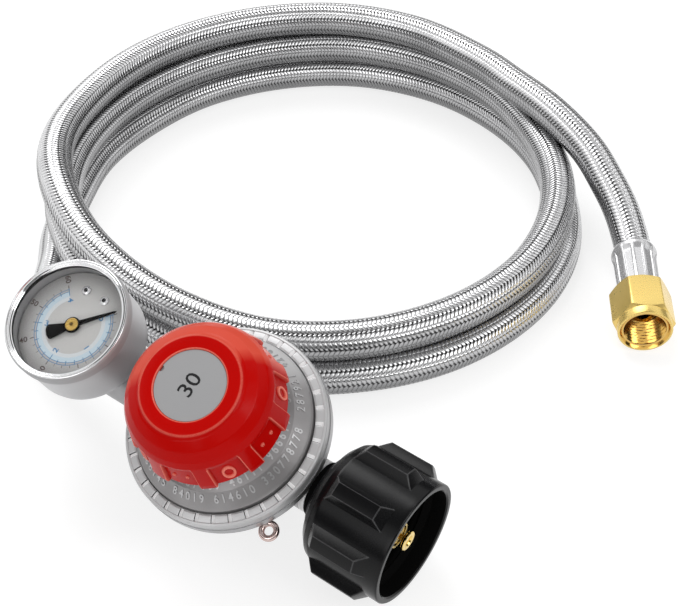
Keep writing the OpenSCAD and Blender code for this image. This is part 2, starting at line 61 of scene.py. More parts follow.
bodyPlace = moved(0.0077, 0.0062, 0.02786) @ turned("Y", 4) @ turned("X", 28)
inletPlace = bodyPlace @ turned("Y", 90)
gaugePlace = bodyPlace @ moved(-0.057, 0, 0)
freeEndPlace = moved(0.0833, 0.1505, 0.0103) @ turned("Z", -57) @ turned("Y", 94)


# camera
cameraSetup = {
    "position": (0.2204, -0.2320, 0.3516), "aim": (-0.0253, 0.1074, 0.0),
    "lens": 74.23, "sensor": 36.0, "near": 0.01, "far": 20,
}


def addObject(name, data):
    added = bpy.data.objects.new(name, data)
    scene.collection.objects.link(added)
    return added


def aimFrom(thing, position, target):
    thing.location = position
    thing.rotation_mode = "QUATERNION"
    thing.rotation_quaternion = (Vector(target) - Vector(position)).to_track_quat("-Z", "Y")


def addCamera():
    data = bpy.data.cameras.new("camera")
    data.lens = cameraSetup["lens"]
    data.sensor_width = cameraSetup["sensor"]
    data.sensor_fit = "HORIZONTAL"
    data.clip_start = cameraSetup["near"]
    data.clip_end = cameraSetup["far"]
    scene.camera = addObject("camera", data)
    aimFrom(scene.camera, cameraSetup["position"], cameraSetup["aim"])


addCamera()
print("camera set")


# mesh helpers: a shape is its points and faces, in millimetres in the piece's own place
perMetre = 1000
filletSteps = 4
edgeMark = {"name": "edgeLine", "from": 14, "full": 34}


def ramp(low, high, value):
    return min(max((value - low) / (high - low), 0.0), 1.0)


def smoothStep(low, high, value):
    t = ramp(low, high, value)
    return t * t * (3 - 2 * t)


def angleOff(angle, centre, count):
    # signed angle from the nearest of count evenly spaced centres
    step = 2 * math.pi / count
    return (angle - centre + step / 2) % step - step / 2


def polar(radius, angle, height):
    return radius * math.cos(angle), radius * math.sin(angle), height


def circlePoints(count):
    return [(math.cos(2 * math.pi * k / count), math.sin(2 * math.pi * k / count)) for k in range(count)]


def markEdges(build):
    # writes 1 on sharp outer edges and 0 on smooth or inner ones
    layer = build.verts.layers.float.new(edgeMark["name"])
    low, high = math.radians(edgeMark["from"]), math.radians(edgeMark["full"])
    for edge in build.edges:
        if len(edge.link_faces) != 2:
            continue
        share = ramp(low, high, edge.calc_face_angle_signed(0))
        for vert in edge.verts:
            vert[layer] = max(vert[layer], share)


def makePiece(name, shape, place, body, sharpAngle=None):
    # without a sharp angle the piece is a flat print
    verts, faces = shape
    mesh = bpy.data.meshes.new(name)
    mesh.from_pydata([tuple(c / perMetre for c in v) for v in verts], [], faces)
    mesh.validate()
    mesh.transform(place)
    build = bmesh.new()
    build.from_mesh(mesh)
    bmesh.ops.remove_doubles(build, verts=build.verts, dist=1e-7)
    if sharpAngle:
        bmesh.ops.recalc_face_normals(build, faces=build.faces)
        markEdges(build)
    build.to_mesh(mesh)
    build.free()
    if sharpAngle:
        mesh.shade_smooth()
        mesh.set_sharp_from_angle(angle=math.radians(sharpAngle))
    piece = addObject(name, mesh)
    if body:
        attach(piece, body)
    return piece


def dress(piece, finishName):
    piece.data.materials.append(paint[finishName])


def refinish(piece, place, finishNames, choose):
    # choose(radius, angle, height) gives each face's finish: 0 keeps the first, 1 is the next
    for name in finishNames:
        piece.data.materials.append(paint[name])
    back = place.inverted()
    for polygon in piece.data.polygons:
        middle = back @ polygon.center * perMetre
        radius, angle = math.hypot(middle.x, middle.y), math.atan2(middle.y, middle.x)
        polygon.material_index = int(choose(radius, angle, middle.z))


def filleted(corners, loop=False):
    # corners are (radius, height) or (radius, height, fillet); gives a plain line of points
    line = []
    count = len(corners)
    for i, corner in enumerate(corners):
        point = Vector(corner[:2])
        fillet = corner[2] if len(corner) > 2 else 0
        if fillet == 0 or (not loop and i in (0, count - 1)):
            line.append((point.x, point.y))
            continue
        before = Vector(corners[i - 1][:2]) - point
        after = Vector(corners[(i + 1) % count][:2]) - point
        half = before.angle(after) / 2
        reach = min(fillet / math.tan(half), before.length * 0.49, after.length * 0.49)
        start = point + before.normalized() * reach
        end = point + after.normalized() * reach
        for k in range(filletSteps + 1):
            t = k / filletSteps
            p = start * (1 - t) ** 2 + point * 2 * t * (1 - t) + end * t ** 2
            line.append((p.x, p.y))
    return line


def ringFaces(rows, around, loop=False):
    # faces between rows of points, with a cap at each end unless the last row meets the first
    faces = []
    for i in range(rows if loop else rows - 1):
        a, b = i * around, ((i + 1) % rows) * around
        for k in range(around):
            m = (k + 1) % around
            faces.append((a + k, a + m, b + m, b + k))
    if not loop:
        faces.append(tuple(range(around - 1, -1, -1)))
        faces.append(tuple((rows - 1) * around + k for k in range(around)))
    return faces


def lathe(profile, around, loop=False, reshape=None):
    # spins a line of (radius, height); reshape(radius, angle, height) gives (radius, height)
    verts = []
    for radius, height in profile:
        for k in range(around):
            angle = 2 * math.pi * k / around
            r, z = reshape(radius, angle, height) if reshape else (radius, height)
            verts.append(polar(r, angle, z))
    return verts, ringFaces(len(profile), around, loop)


def joined(parts):
    verts, faces = [], []
    for partVerts, partFaces in parts:
        base = len(verts)
        verts.extend(partVerts)
        faces.extend(tuple(base + i for i in face) for face in partFaces)
    return verts, faces


# material helpers
def newMaterial(name):
    material = bpy.data.materials.new(name)
    material.use_nodes = True
    return material, material.node_tree


def feedInputs(tree, node, inputs):
    # an input takes a number, a colour, a direction or another node's output
    for label, value in inputs.items():
        socket = node.inputs[label]
        if isinstance(value, bpy.types.NodeSocket):
            tree.links.new(value, socket)
        elif socket.type == "RGBA":
            socket.default_value = (*value, 1)
        else:
            socket.default_value = value


def addNode(tree, kind, inputs=None, **settings):
    node = tree.nodes.new("ShaderNode" + kind)
    for name, value in settings.items():
        setattr(node, name, value)
    feedInputs(tree, node, inputs or {})
    return node


def mathNode(tree, operation, *values, clamp=False):
    return addNode(tree, "Math", dict(enumerate(values)), operation=operation, use_clamp=clamp).outputs[0]


def mixColour(tree, share, first, second):
    return addNode(tree, "Mix", {0: share, 6: first, 7: second}, data_type="RGBA").outputs[2]


def rangeNode(tree, value, low, high, newLow=0.0, newHigh=1.0):
    return addNode(tree, "MapRange", dict(enumerate((value, low, high, newLow, newHigh)))).outputs[0]


def bumpNode(tree, height, strength, distance):
    return addNode(tree, "Bump", {"Strength": strength, "Distance": distance, "Height": height}).outputs[0]


def noiseNode(tree, inputs):
    return addNode(tree, "TexNoise", inputs).outputs[0]


def objectPlace(tree):
    return addNode(tree, "TexCoord").outputs["Object"]


def geometryOutput(tree, label):
    return addNode(tree, "NewGeometry").outputs[label]


def newGroup(name, inputs, outputs):
    # inputs and outputs hold the socket names of each kind
    group = bpy.data.node_groups.new(name, "ShaderNodeTree")
    for side, sockets in (("INPUT", inputs), ("OUTPUT", outputs)):
        for kind, labels in sockets.items():
            for label in labels:
                group.interface.new_socket(label, in_out=side, socket_type="NodeSocket" + kind)
    return group, group.nodes.new("NodeGroupInput").outputs, group.nodes.new("NodeGroupOutput")


wearAndEdgeLightSetup = {
    "noise": (("Blotch Scale", 4), ("Grain Scale", 3)), "blotchSpread": (0.35, 0.68), "blotchShare": 0.65,
    "cornerPoint": (0.53, 0.62), "edgeGrain": (0.3, 0.55, 0.55, 1.0), "roughSpread": (0.35, 0.65),
}


def makeSurfaceWear():
    # blotches, fine grain and edges of their own colour, shared by most finishes; the edge colour is partly
    # rubbed wear and partly a painted edge highlight, and on the flare nut a painted dark edge line
    tree, given, leave = newGroup(
        "surfaceWearAndEdgeLight",
        {"Color": ("Colour", "Dark", "Wear And Edge Light"),
         "Float": ("Blotch Scale", "Blotch", "Grain Scale", "Rough Low", "Rough High", "Edge", "Corner")},
        {"Color": ("Colour",), "Float": ("Roughness", "Height")})
    where = objectPlace(tree)
    blotch, grain = (noiseNode(tree, {"Vector": where, "Scale": given[label], "Detail": detail})
                     for label, detail in wearAndEdgeLightSetup["noise"])
    amount = mathNode(tree, "MULTIPLY", rangeNode(tree, blotch, *wearAndEdgeLightSetup["blotchSpread"]), given["Blotch"])
    body = mixColour(tree, amount, given["Colour"], given["Dark"])
    corner = rangeNode(tree, geometryOutput(tree, "Pointiness"), *wearAndEdgeLightSetup["cornerPoint"])
    corner = mathNode(tree, "MULTIPLY", corner, given["Corner"])
    marked = addNode(tree, "Attribute", attribute_name=edgeMark["name"]).outputs["Fac"]
    # edge colour: partly wear, partly a painted edge highlight
    edgeShare = mathNode(tree, "MAXIMUM", mathNode(tree, "MULTIPLY", marked, given["Edge"]), corner)
    broken = rangeNode(tree, grain, *wearAndEdgeLightSetup["edgeGrain"])
    wearAndEdgeLight = mathNode(tree, "MULTIPLY", edgeShare, broken, clamp=True)
    blotchPart = mathNode(tree, "MULTIPLY", blotch, wearAndEdgeLightSetup["blotchShare"])
    mixed = mathNode(tree, "MULTIPLY_ADD", grain, 1 - wearAndEdgeLightSetup["blotchShare"], blotchPart)
    share = rangeNode(tree, mixed, *wearAndEdgeLightSetup["roughSpread"])
    span = mathNode(tree, "SUBTRACT", given["Rough High"], given["Rough Low"])
    feedInputs(tree, leave, {
        "Colour": mixColour(tree, wearAndEdgeLight, body, given["Wear And Edge Light"]),
        "Roughness": mathNode(tree, "MULTIPLY_ADD", share, span, given["Rough Low"]),
        "Height": grain})
    return tree


surfaceWearAndEdgeLight = makeSurfaceWear()

# what a look doesn't give is as here
plainLook = dict(wearAndEdgeLight=(0.5, 0.5, 0.5), metallic=0.0, specular=0.5, blotchScale=60, blotch=0.3,
                 grainScale=1500, bump=0.2, depth=0.00003, edge=0.5, corner=0.0)
# painted reflection: the most that the paler colour takes over
paintedReflectionShare = 0.85


def finish(name, given):
    # one Principled surface fed by the wear group
    look = {**plainLook, **given}
    material, tree = newMaterial(name)
    surface = addNode(tree, "Group", {
        "Colour": look["colour"], "Dark": look["dark"], "Wear And Edge Light": look["wearAndEdgeLight"],
        "Blotch Scale": look["blotchScale"], "Blotch": look["blotch"], "Grain Scale": look["grainScale"],
        "Rough Low": look["rough"][0], "Rough High": look["rough"][1],
        "Edge": look["edge"], "Corner": look["corner"]}, node_tree=surfaceWearAndEdgeLight).outputs
    colour = surface["Colour"]
    if "paintedReflection" in look:
        # painted reflection: the base colour turns paler on the side that faces a fixed direction, as if a
        # lamp were reflected there
        side = (bodyPlace @ turned("Z", look["paintedReflectionTurn"])).to_3x3() @ Vector((1, 0, 0))
        facing = addNode(tree, "VectorMath", {0: geometryOutput(tree, "Normal"), 1: side},
                         operation="DOT_PRODUCT").outputs["Value"]
        share = rangeNode(tree, facing, look["paintedReflectionFrom"], look["paintedReflectionTo"], 0.0, paintedReflectionShare)
        colour = mixColour(tree, share, colour, look["paintedReflection"])
    feedInputs(tree, tree.nodes["Principled BSDF"], {
        "Base Color": colour, "Roughness": surface["Roughness"], "Metallic": look["metallic"],
        "Specular IOR Level": look["specular"],
        "Normal": bumpNode(tree, surface["Height"], look["bump"], look["depth"])})
    return material


ink = dict(rough=(0.5, 0.6), bump=0.05, edge=0.0, specular=0.2)
looks = {
    "castGrey": dict(colour=(0.36, 0.36, 0.37), dark=(0.26, 0.255, 0.255), wearAndEdgeLight=(0.62, 0.62, 0.63),
                     metallic=0.8, rough=(0.32, 0.46), blotchScale=70, blotch=0.6, grainScale=2400,
                     bump=0.5, depth=0.00008, edge=0.6, corner=0.5),
    # painted highlight: a paler copy of the bonnet's grey, so that the raised numbers read lighter
    "paintedHighlightNumberGrey": dict(colour=(0.33, 0.325, 0.326), dark=(0.23, 0.225, 0.225), wearAndEdgeLight=(0.56, 0.56, 0.57),
                       metallic=0.6, rough=(0.26, 0.38), blotch=0.6, edge=0.6),
    # bonnet grey, with a painted reflection that makes one side paler
    "bonnetGrey": dict(colour=(0.285, 0.277, 0.279), dark=(0.19, 0.182, 0.182), wearAndEdgeLight=(0.75, 0.75, 0.76),
                       metallic=0.55, rough=(0.3, 0.42), blotch=0.6, grainScale=2400, bump=0.3,
                       depth=0.00005, edge=0.7, corner=0.4, paintedReflection=(0.82, 0.82, 0.825), paintedReflectionTurn=105,
                       paintedReflectionFrom=0.42, paintedReflectionTo=0.68),
    "brightSteel": dict(colour=(0.62, 0.62, 0.63), dark=(0.50, 0.50, 0.51), wearAndEdgeLight=(0.88, 0.88, 0.89),
                        metallic=0.9, rough=(0.2, 0.32), blotch=0.5, bump=0.12, edge=0.7),
    "pressedSteel": dict(colour=(0.56, 0.56, 0.565), dark=(0.46, 0.46, 0.465), wearAndEdgeLight=(0.90, 0.90, 0.91),
                         metallic=0.35, rough=(0.36, 0.48), blotch=0.5, bump=0.12),
    # painted highlight and painted shade for the two sides of the crimp ring's notches; the highlight also
    # paints the nut collar
    "paintedHighlightWhite": dict(colour=(0.95, 0.95, 0.955), dark=(0.86, 0.86, 0.865), wearAndEdgeLight=(0.97, 0.97, 0.97),
                        rough=(0.3, 0.4), blotch=0.5, bump=0.1),
    "paintedShadeCrimp": dict(colour=(0.11, 0.11, 0.112), dark=(0.07, 0.07, 0.071), wearAndEdgeLight=(0.3, 0.3, 0.3),
                      metallic=0.3, rough=(0.5, 0.6), blotch=0.5, bump=0.1, edge=0.2),
    "bezelSide": dict(colour=(0.40, 0.40, 0.408), dark=(0.35, 0.35, 0.357), wearAndEdgeLight=(0.7, 0.7, 0.71),
                      metallic=0.15, rough=(0.5, 0.6), bump=0.04, edge=0.3, specular=0.3),
    "pressedFerrule": dict(colour=(0.66, 0.66, 0.67), dark=(0.55, 0.55, 0.56), wearAndEdgeLight=(0.9, 0.9, 0.9),
                           metallic=0.6, rough=(0.24, 0.34), blotch=0.5, bump=0.12, edge=0.6),
    "polishedChrome": dict(colour=(0.80, 0.80, 0.81), dark=(0.70, 0.70, 0.71), wearAndEdgeLight=(0.9, 0.9, 0.9),
                           metallic=1.0, rough=(0.05, 0.1), bump=0.03, edge=0.3),
    "satinCase": dict(colour=(0.50, 0.50, 0.51), dark=(0.44, 0.44, 0.45), wearAndEdgeLight=(0.8, 0.8, 0.81),
                      metallic=0.55, rough=(0.34, 0.42), bump=0.04),
    "turnedBrass": dict(colour=(0.83, 0.58, 0.17), dark=(0.70, 0.44, 0.10), wearAndEdgeLight=(0.96, 0.84, 0.50),
                        metallic=1.0, rough=(0.12, 0.22), blotch=0.5, bump=0.08),
    # a dark brass for the disc over the needle's pivot
    "darkPivotBrass": dict(colour=(0.10, 0.06, 0.015), dark=(0.07, 0.04, 0.01), wearAndEdgeLight=(0.3, 0.2, 0.06),
                      metallic=0.8, rough=(0.3, 0.4), blotch=0.5),
    "hubBrass": dict(colour=(0.50, 0.33, 0.085), dark=(0.40, 0.25, 0.06), wearAndEdgeLight=(0.7, 0.5, 0.2),
                     metallic=0.8, rough=(0.25, 0.35), blotch=0.5, edge=0.6),
    "paleBrass": dict(colour=(0.86, 0.66, 0.24), dark=(0.78, 0.55, 0.17), wearAndEdgeLight=(0.97, 0.90, 0.62),
                      metallic=1.0, rough=(0.14, 0.22), blotch=0.5, bump=0.06),
    # painted shade: a darker edge colour draws a dark line along the nut's edges
    "nutBrass": dict(colour=(0.89, 0.66, 0.21), dark=(0.84, 0.60, 0.17), wearAndEdgeLight=(0.42, 0.25, 0.06),
                     metallic=0.62, rough=(0.22, 0.32), blotch=0.5, bump=0.06, edge=0.2),
    "threadBrass": dict(colour=(0.70, 0.42, 0.10), dark=(0.52, 0.28, 0.06), wearAndEdgeLight=(0.95, 0.80, 0.42),
                        metallic=1.0, rough=(0.14, 0.22), blotch=0.5, bump=0.06, edge=0.3),
    # knob red, with a painted orange reflection on one side of the dome
    "redPlastic": dict(colour=(0.49, 0.003, 0.002), dark=(0.41, 0.002, 0.001), wearAndEdgeLight=(0.86, 0.22, 0.16),
                       rough=(0.14, 0.2), blotchScale=40, blotch=0.4, grainScale=3000, bump=0.05,
                       depth=0.00002, edge=1.0, specular=0.06, paintedReflection=(0.68, 0.092, 0.056), paintedReflectionTurn=132,
                       paintedReflectionFrom=0.12, paintedReflectionTo=0.26),
    "blackPlastic": dict(colour=(0.0045, 0.0045, 0.005), dark=(0.003, 0.003, 0.0035),
                         wearAndEdgeLight=(0.085, 0.085, 0.087), rough=(0.2, 0.3), blotchScale=50, blotch=0.6,
                         grainScale=2500, bump=0.1, depth=0.00002, edge=0.8, specular=0.17),
    # painted shade for the inside of the hand nut's mouth and for its bushing
    "paintedShadeBore": dict(colour=(0.003, 0.003, 0.003), dark=(0.002, 0.002, 0.002), rough=(0.7, 0.85), edge=0.0,
                     specular=0.04),
    "blackRubber": dict(colour=(0.02, 0.02, 0.02), dark=(0.012, 0.012, 0.012), wearAndEdgeLight=(0.06, 0.06, 0.06),
                        rough=(0.6, 0.75), bump=0.3),
    "labelFoil": dict(colour=(0.34, 0.34, 0.345), dark=(0.31, 0.31, 0.315), wearAndEdgeLight=(0.5, 0.5, 0.5),
                      metallic=0.2, rough=(0.45, 0.55), blotch=0.4, bump=0.06, edge=0.2, specular=0.3),
    "needlePaint": dict(colour=(0.002, 0.002, 0.002), dark=(0.001, 0.001, 0.001), wearAndEdgeLight=(0.02, 0.02, 0.02),
                        rough=(0.4, 0.5), bump=0.1, specular=0.05),
    "eyeMetal": dict(colour=(0.62, 0.48, 0.45), dark=(0.42, 0.31, 0.30), wearAndEdgeLight=(0.85, 0.78, 0.75),
                     metallic=1.0, rough=(0.14, 0.24), blotch=0.5, bump=0.1),
    "inkDark": dict(ink, colour=(0.085, 0.062, 0.06), dark=(0.11, 0.08, 0.078)),
    "inkBlack": dict(ink, colour=(0.012, 0.012, 0.013), dark=(0.02, 0.02, 0.021), rough=(0.4, 0.5)),
    "inkBlue": dict(ink, colour=(0.07, 0.19, 0.36), dark=(0.09, 0.22, 0.40)),
    "inkSky": dict(ink, colour=(0.44, 0.54, 0.60), dark=(0.47, 0.56, 0.61)),
    "inkPale": dict(ink, colour=(0.53, 0.56, 0.575), dark=(0.55, 0.57, 0.58)),
}
paint = {name: finish(name, look) for name, look in looks.items()}

# the dial's silvered face, with a painted shade that darkens it towards its rim
dialPaint = {
    "middle": (0.45, 0.446, 0.438), "rim": (0.25, 0.246, 0.242), "from": 9.0, "to": 19.0, "fall": 1.6,
    "height": 0.0291, "grainScale": 900, "grain": (0.3, 0.7), "speck": (0.3, 0.3, 0.3), "speckShare": 0.08,
    "rough": (0.42, 0.55), "specular": 0.2, "bump": 0.05, "depth": 0.00002,
}


def makeDialPaint():
    material, tree = newMaterial("dialFace")
    where = objectPlace(tree)
    centre = (gaugePlace @ moved(0, 0, dialPaint["height"])).translation
    away = addNode(tree, "VectorMath", {0: where, 1: centre}, operation="DISTANCE").outputs["Value"]
    share = rangeNode(tree, away, dialPaint["from"] / perMetre, dialPaint["to"] / perMetre)
    share = mathNode(tree, "POWER", share, dialPaint["fall"])
    grain = noiseNode(tree, {"Scale": dialPaint["grainScale"], "Vector": where})
    # painted shade: darker towards the rim
    tint = mixColour(tree, share, dialPaint["middle"], dialPaint["rim"])
    speck = rangeNode(tree, grain, *dialPaint["grain"], 0.0, dialPaint["speckShare"])
    feedInputs(tree, tree.nodes["Principled BSDF"], {
        "Base Color": mixColour(tree, speck, tint, dialPaint["speck"]),
        "Roughness": rangeNode(tree, grain, *dialPaint["grain"], *dialPaint["rough"]),
        "Specular IOR Level": dialPaint["specular"],
        "Normal": bumpNode(tree, grain, dialPaint["bump"], dialPaint["depth"])})
    return material


lensGlass = {"ior": 1.14, "speckScale": 400, "specks": (0.4, 0.7), "rough": (0.0, 0.03)}


def makeLensGlass():
    material, tree = newMaterial("lensGlass")
    specks = noiseNode(tree, {"Scale": lensGlass["speckScale"]})
    feedInputs(tree, tree.nodes["Principled BSDF"], {
        "Base Color": (1.0, 1.0, 1.0), "Transmission Weight": 1.0, "IOR": lensGlass["ior"],
        "Roughness": rangeNode(tree, specks, *lensGlass["specks"], *lensGlass["rough"])})
    return material


# the braid: rows of slanted wire bundles, each row leaning the other way from the next
braid = {
    "map": "braidMap", "pitch": 0.00165, "rows": 16, "phase": 0.333, "slant": 0.625, "wires": 4,
    "steel": (0.80, 0.80, 0.81), "dull": (0.68, 0.68, 0.69), "stainScale": 45, "stain": (0.35, 0.65),
    # painted shade along the seams and painted shadow in the gaps between rows
    "shadedSeam": (0.34, 0.34, 0.345), "shadedSeamEdge": (0.66, 0.92), "paintedSeamShadeShare": 0.7, "rough": (0.22, 0.42),
    "paintedGapShadow": (0.006, 0.006, 0.006), "paintedGapShadowSide": (0.3, 0.6), "paintedGapShadowEnd": (0.62, 0.9),
    # painted shade: darker colour on the side that faces the ground
    "under": (0.065, 0.065, 0.067), "underTurn": (0.62, -0.25), "underShare": 0.74,
    "bundleRound": 2.4, "crownRound": 3.0, "crownShare": 0.6, "wireShare": 0.03, "depth": 0.00028,
}


def makeWireBraid():
    material, tree = newMaterial("wireBraid")

    def calc(operation, *values):
        return mathNode(tree, operation, *values)

    def fromMiddle(value):
        # 0 in the middle of a bundle or row, 1 at its edge
        return calc("ABSOLUTE", calc("MULTIPLY_ADD", value, 2.0, -1.0))

    mapped = addNode(tree, "UVMap", uv_map=braid["map"]).outputs[0]
    along, across = addNode(tree, "SeparateXYZ", {0: mapped}).outputs[:2]
    rowPlace = calc("FRACT", across)
    odd = calc("FLOORED_MODULO", calc("FLOOR", across), 2.0)
    lean = calc("MULTIPLY_ADD", odd, -2.0 * braid["slant"], braid["slant"])
    strand = calc("FRACT", calc("MULTIPLY_ADD", lean, across, along))
    sideways, endways = fromMiddle(strand), fromMiddle(rowPlace)
    shadedSeam = rangeNode(tree, sideways, *braid["shadedSeamEdge"])
    # painted shadow: near-black gaps where every second pair of rows meets
    nearEnd = rangeNode(tree, calc("ABSOLUTE", calc("SUBTRACT", odd, rowPlace)), *braid["paintedGapShadowEnd"])
    paintedGapShadow = calc("MULTIPLY", rangeNode(tree, sideways, *braid["paintedGapShadowSide"]), nearEnd)
    bundle = calc("SQRT", calc("SUBTRACT", 1.0, calc("POWER", sideways, braid["bundleRound"])))
    crown = calc("SUBTRACT", 1.0, calc("POWER", endways, braid["crownRound"]))
    crown = calc("MULTIPLY_ADD", crown, braid["crownShare"], 1 - braid["crownShare"])
    wire = calc("SINE", calc("MULTIPLY", strand, 2 * math.pi * braid["wires"]))
    height = calc("MULTIPLY_ADD", wire, braid["wireShare"], calc("MULTIPLY", bundle, crown))
    stain = noiseNode(tree, {"Scale": braid["stainScale"], "Vector": objectPlace(tree)})
    steel = mixColour(tree, rangeNode(tree, stain, *braid["stain"]), braid["steel"], braid["dull"])
    # painted shade: darker colour along the seams between bundles
    colour = mixColour(tree, calc("MULTIPLY", shadedSeam, braid["paintedSeamShadeShare"]), steel, braid["shadedSeam"])
    colour = mixColour(tree, paintedGapShadow, colour, braid["paintedGapShadow"])
    # painted shade: the base colour turns darker on the side that faces the ground
    upward = addNode(tree, "SeparateXYZ", {0: geometryOutput(tree, "Normal")}).outputs[2]
    paintedShadeBelow = rangeNode(tree, upward, *braid["underTurn"], 0.0, braid["underShare"])
    feedInputs(tree, tree.nodes["Principled BSDF"], {
        "Base Color": mixColour(tree, paintedShadeBelow, colour, braid["under"]), "Metallic": 1.0,
        "Roughness": rangeNode(tree, shadedSeam, 0.0, 1.0, *braid["rough"]),
        "Normal": bumpNode(tree, height, 1.0, braid["depth"])})
    return material


paint["dialFace"] = makeDialPaint()
paint["lensGlass"] = makeLensGlass()
paint["wireBraid"] = makeWireBraid()
print("finishes made")


# the hose: its route is measured from the regulator's middle, in millimetres
hose = {
    "diameter": 14.3, "length": 1.8, "exit": (-0.0743, 0.0116, 0.0235), "shift": (7.7, 6.2),
    "sides": 32, "step": 3.5, "fineSteps": 12,
}
hoseRoute = [
    (-68, 2.5, 28), (-82, 5.5, 23.5), (-100, 12, 17.5), (-115, 26, 12.5), (-130, 45, 9), (-144, 61, 7.5),
    (-157, 82, 7.2), (-171, 114, 7.2), (-174, 149, 7.2), (-168, 184, 7.2), (-149, 216, 7.2),
    (-120, 239, 7.2), (-84, 248, 7.2), (-48, 243, 7.2), (-16, 227, 7.2), (9, 201, 7.2),
    (26, 170, 7.2), (31, 135, 7.2), (23, 99, 7.2), (3, 69, 7.2), (-27, 47, 7.5),
    (-64, 38, 11), (-100, 40, 17.5), (-133, 56, 22.5), (-157, 82, 22), (-171, 113, 21.7), (-175, 148, 21.7),
    (-168, 182, 21.7), (-150, 213, 21.7), (-122, 236, 21.7), (-86, 245, 21.7), (-50, 240, 21.7),
    (-19, 223, 21.7), (6, 199, 21.7), (22, 168, 21.7), (27, 133, 21.7), (19, 98, 21.7), (-1, 68, 21.7),
    (-31, 48, 22),
    (-69, 40, 25.5), (-105, 43, 32), (-136, 58, 37), (-160, 82, 36.6), (-173, 113, 36.3), (-177, 148, 36.3),
    (-170, 181, 36.3), (-152, 211, 36.3), (-125, 233, 36.3), (-91, 242, 36.3), (-56, 237, 36.3),
    (-33, 229, 36.2), (-10, 221, 35), (12, 212, 30.5), (27, 203, 25), (39, 194.5, 19.5),
    (50.6, 182.8, 13.5), (57.1, 172.7, 12.7),
]


def smoothLine(points, step):
    # a rounded line through the points, then spaced evenly
    knots = [Vector(p) for p in points]
    fine = []
    for i in range(len(knots) - 1):
        a, b = knots[max(i - 1, 0)], knots[i]
        c, d = knots[i + 1], knots[min(i + 2, len(knots) - 1)]
        for k in range(hose["fineSteps"]):
            t = k / hose["fineSteps"]
            fine.append(0.5 * ((2 * b) + (c - a) * t + (2 * a - 5 * b + 4 * c - d) * t * t
                               + (3 * b - a - 3 * c + d) * t ** 3))
    fine.append(knots[-1])
    lengths = [0]
    for i in range(1, len(fine)):
        lengths.append(lengths[-1] + (fine[i] - fine[i - 1]).length)
    count = round(lengths[-1] / step)
    line, j = [], 0
    for i in range(count + 1):
        want = lengths[-1] * i / count
        while j < len(fine) - 2 and lengths[j + 1] < want:
            j += 1
        share = (want - lengths[j]) / max(lengths[j + 1] - lengths[j], 1e-9)
        line.append(fine[j].lerp(fine[j + 1], share))
    return line, lengths[-1]


def makeHose():
    shiftX, shiftY = hose["shift"]
    centre, length = smoothLine([(x + shiftX, y + shiftY, z) for x, y, z in hoseRoute], hose["step"])
    sides, spans = hose["sides"], len(centre) - 1
    verts = []
    side = Vector((0, 0, 1))
    for i, point in enumerate(centre):
        ahead = (centre[min(i + 1, spans)] - centre[max(i - 1, 0)]).normalized()
        side = (side - ahead * side.dot(ahead)).normalized()
        other = ahead.cross(side)
        verts += [point + hose["diameter"] / 2 * (c * side + s * other) for c, s in circlePoints(sides)]
    mesh = bpy.data.meshes.new("braidedHose")
    mesh.from_pydata([tuple(v / perMetre) for v in verts], [], ringFaces(len(centre), sides))
    mesh.shade_smooth()
    layer = mesh.uv_layers.new(name=braid["map"])
    spacing = length / spans / perMetre / braid["pitch"]
    for number, polygon in enumerate(mesh.polygons):
        ring, k = divmod(number, sides)
        if ring >= spans:
            continue
        corners = ((ring, k), (ring, k + 1), (ring + 1, k + 1), (ring + 1, k))
        for loop, (i, j) in zip(polygon.loop_indices, corners):
            layer.data[loop].uv = (i * spacing, j / sides * braid["rows"] + braid["phase"])
    piece = addObject("braidedHose", mesh)
    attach(piece, "regulator")
    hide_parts("hose")
    dress(piece, "wireBraid")
    return piece, [tuple(p / perMetre) for p in centre], length / perMetre


hosePiece, hoseLine, hoseLength = makeHose()
print("hose made, length", round(hoseLength, 4))


# the adjusting knob
knob = {
    "ribs": 10, "firstRib": 18, "ribHalfAngle": 6.0, "ribEdge": 0.5, "ribEdgeShare": 0.75,
    "ribRadius": 25.6, "ribTop": 40.9, "ribRise": 9.4, "ribFoot": 29.5, "footSink": 0.3,
    "wall": 22.8, "lipRadius": 23.4, "around": 720,
}


def knobLine():
    seat = [(11.25, 47.0), (11.3, 48.7), (11.42, 48.95), (11.62, 49.1), (11.85, 49.12), (15.3, 49.1),
            (15.6, 49.06), (15.95, 48.86), (16.2, 48.55), (16.45, 48.3)]
    dome = [(17.2, 47.95, 0.4), (20, 46.1, 2.5), (22.3, 43.3, 2.5), (23.4, 41, 1.2), (23.42, 39.75, 0.22),
            (22.9, 39.3, 0.1), (22.85, 38.4)]
    skirt = [(22.95 + 0.17 * k, 37.9 - 0.9 * k) for k in range(9)]
    inside = [(24.55, 29.75, 0.2), (24.2, 29.3, 0.15), (22.4, 29.3, 0.2), (21, 38, 2), (20.6, 40.5, 2),
              (17.5, 44.2, 1), (15, 45.2, 1), (3.6, 45.2), (3.6, 46.9)]
    return filleted(seat + dome + skirt + inside)


def makeKnob():
    half, edge = math.radians(knob["ribHalfAngle"]), math.radians(knob["ribEdge"])
    lip = knob["lipRadius"]

    def ribbed(radius, angle, height):
        if radius < knob["wall"] or height > knob["ribTop"]:
            return radius, height
        off = abs(angleOff(angle, math.radians(knob["firstRib"]), knob["ribs"]))
        share = 1.0 if off < half - edge / 2 else knob["ribEdgeShare"] if off < half + edge / 2 else 0.0
        rise = min((knob["ribTop"] - height) / knob["ribRise"], 1)
        out = lip + 0.02 + (knob["ribRadius"] - lip) * rise
        if height < knob["ribFoot"]:
            out -= knob["footSink"]
        return radius + max(out - radius, 0) * share, height

    shape = lathe(knobLine(), knob["around"], reshape=ribbed)
    piece = makePiece("adjustingKnob", shape, bodyPlace, "knob_group", sharpAngle=22)
    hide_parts("knob")
    dress(piece, "redPlastic")


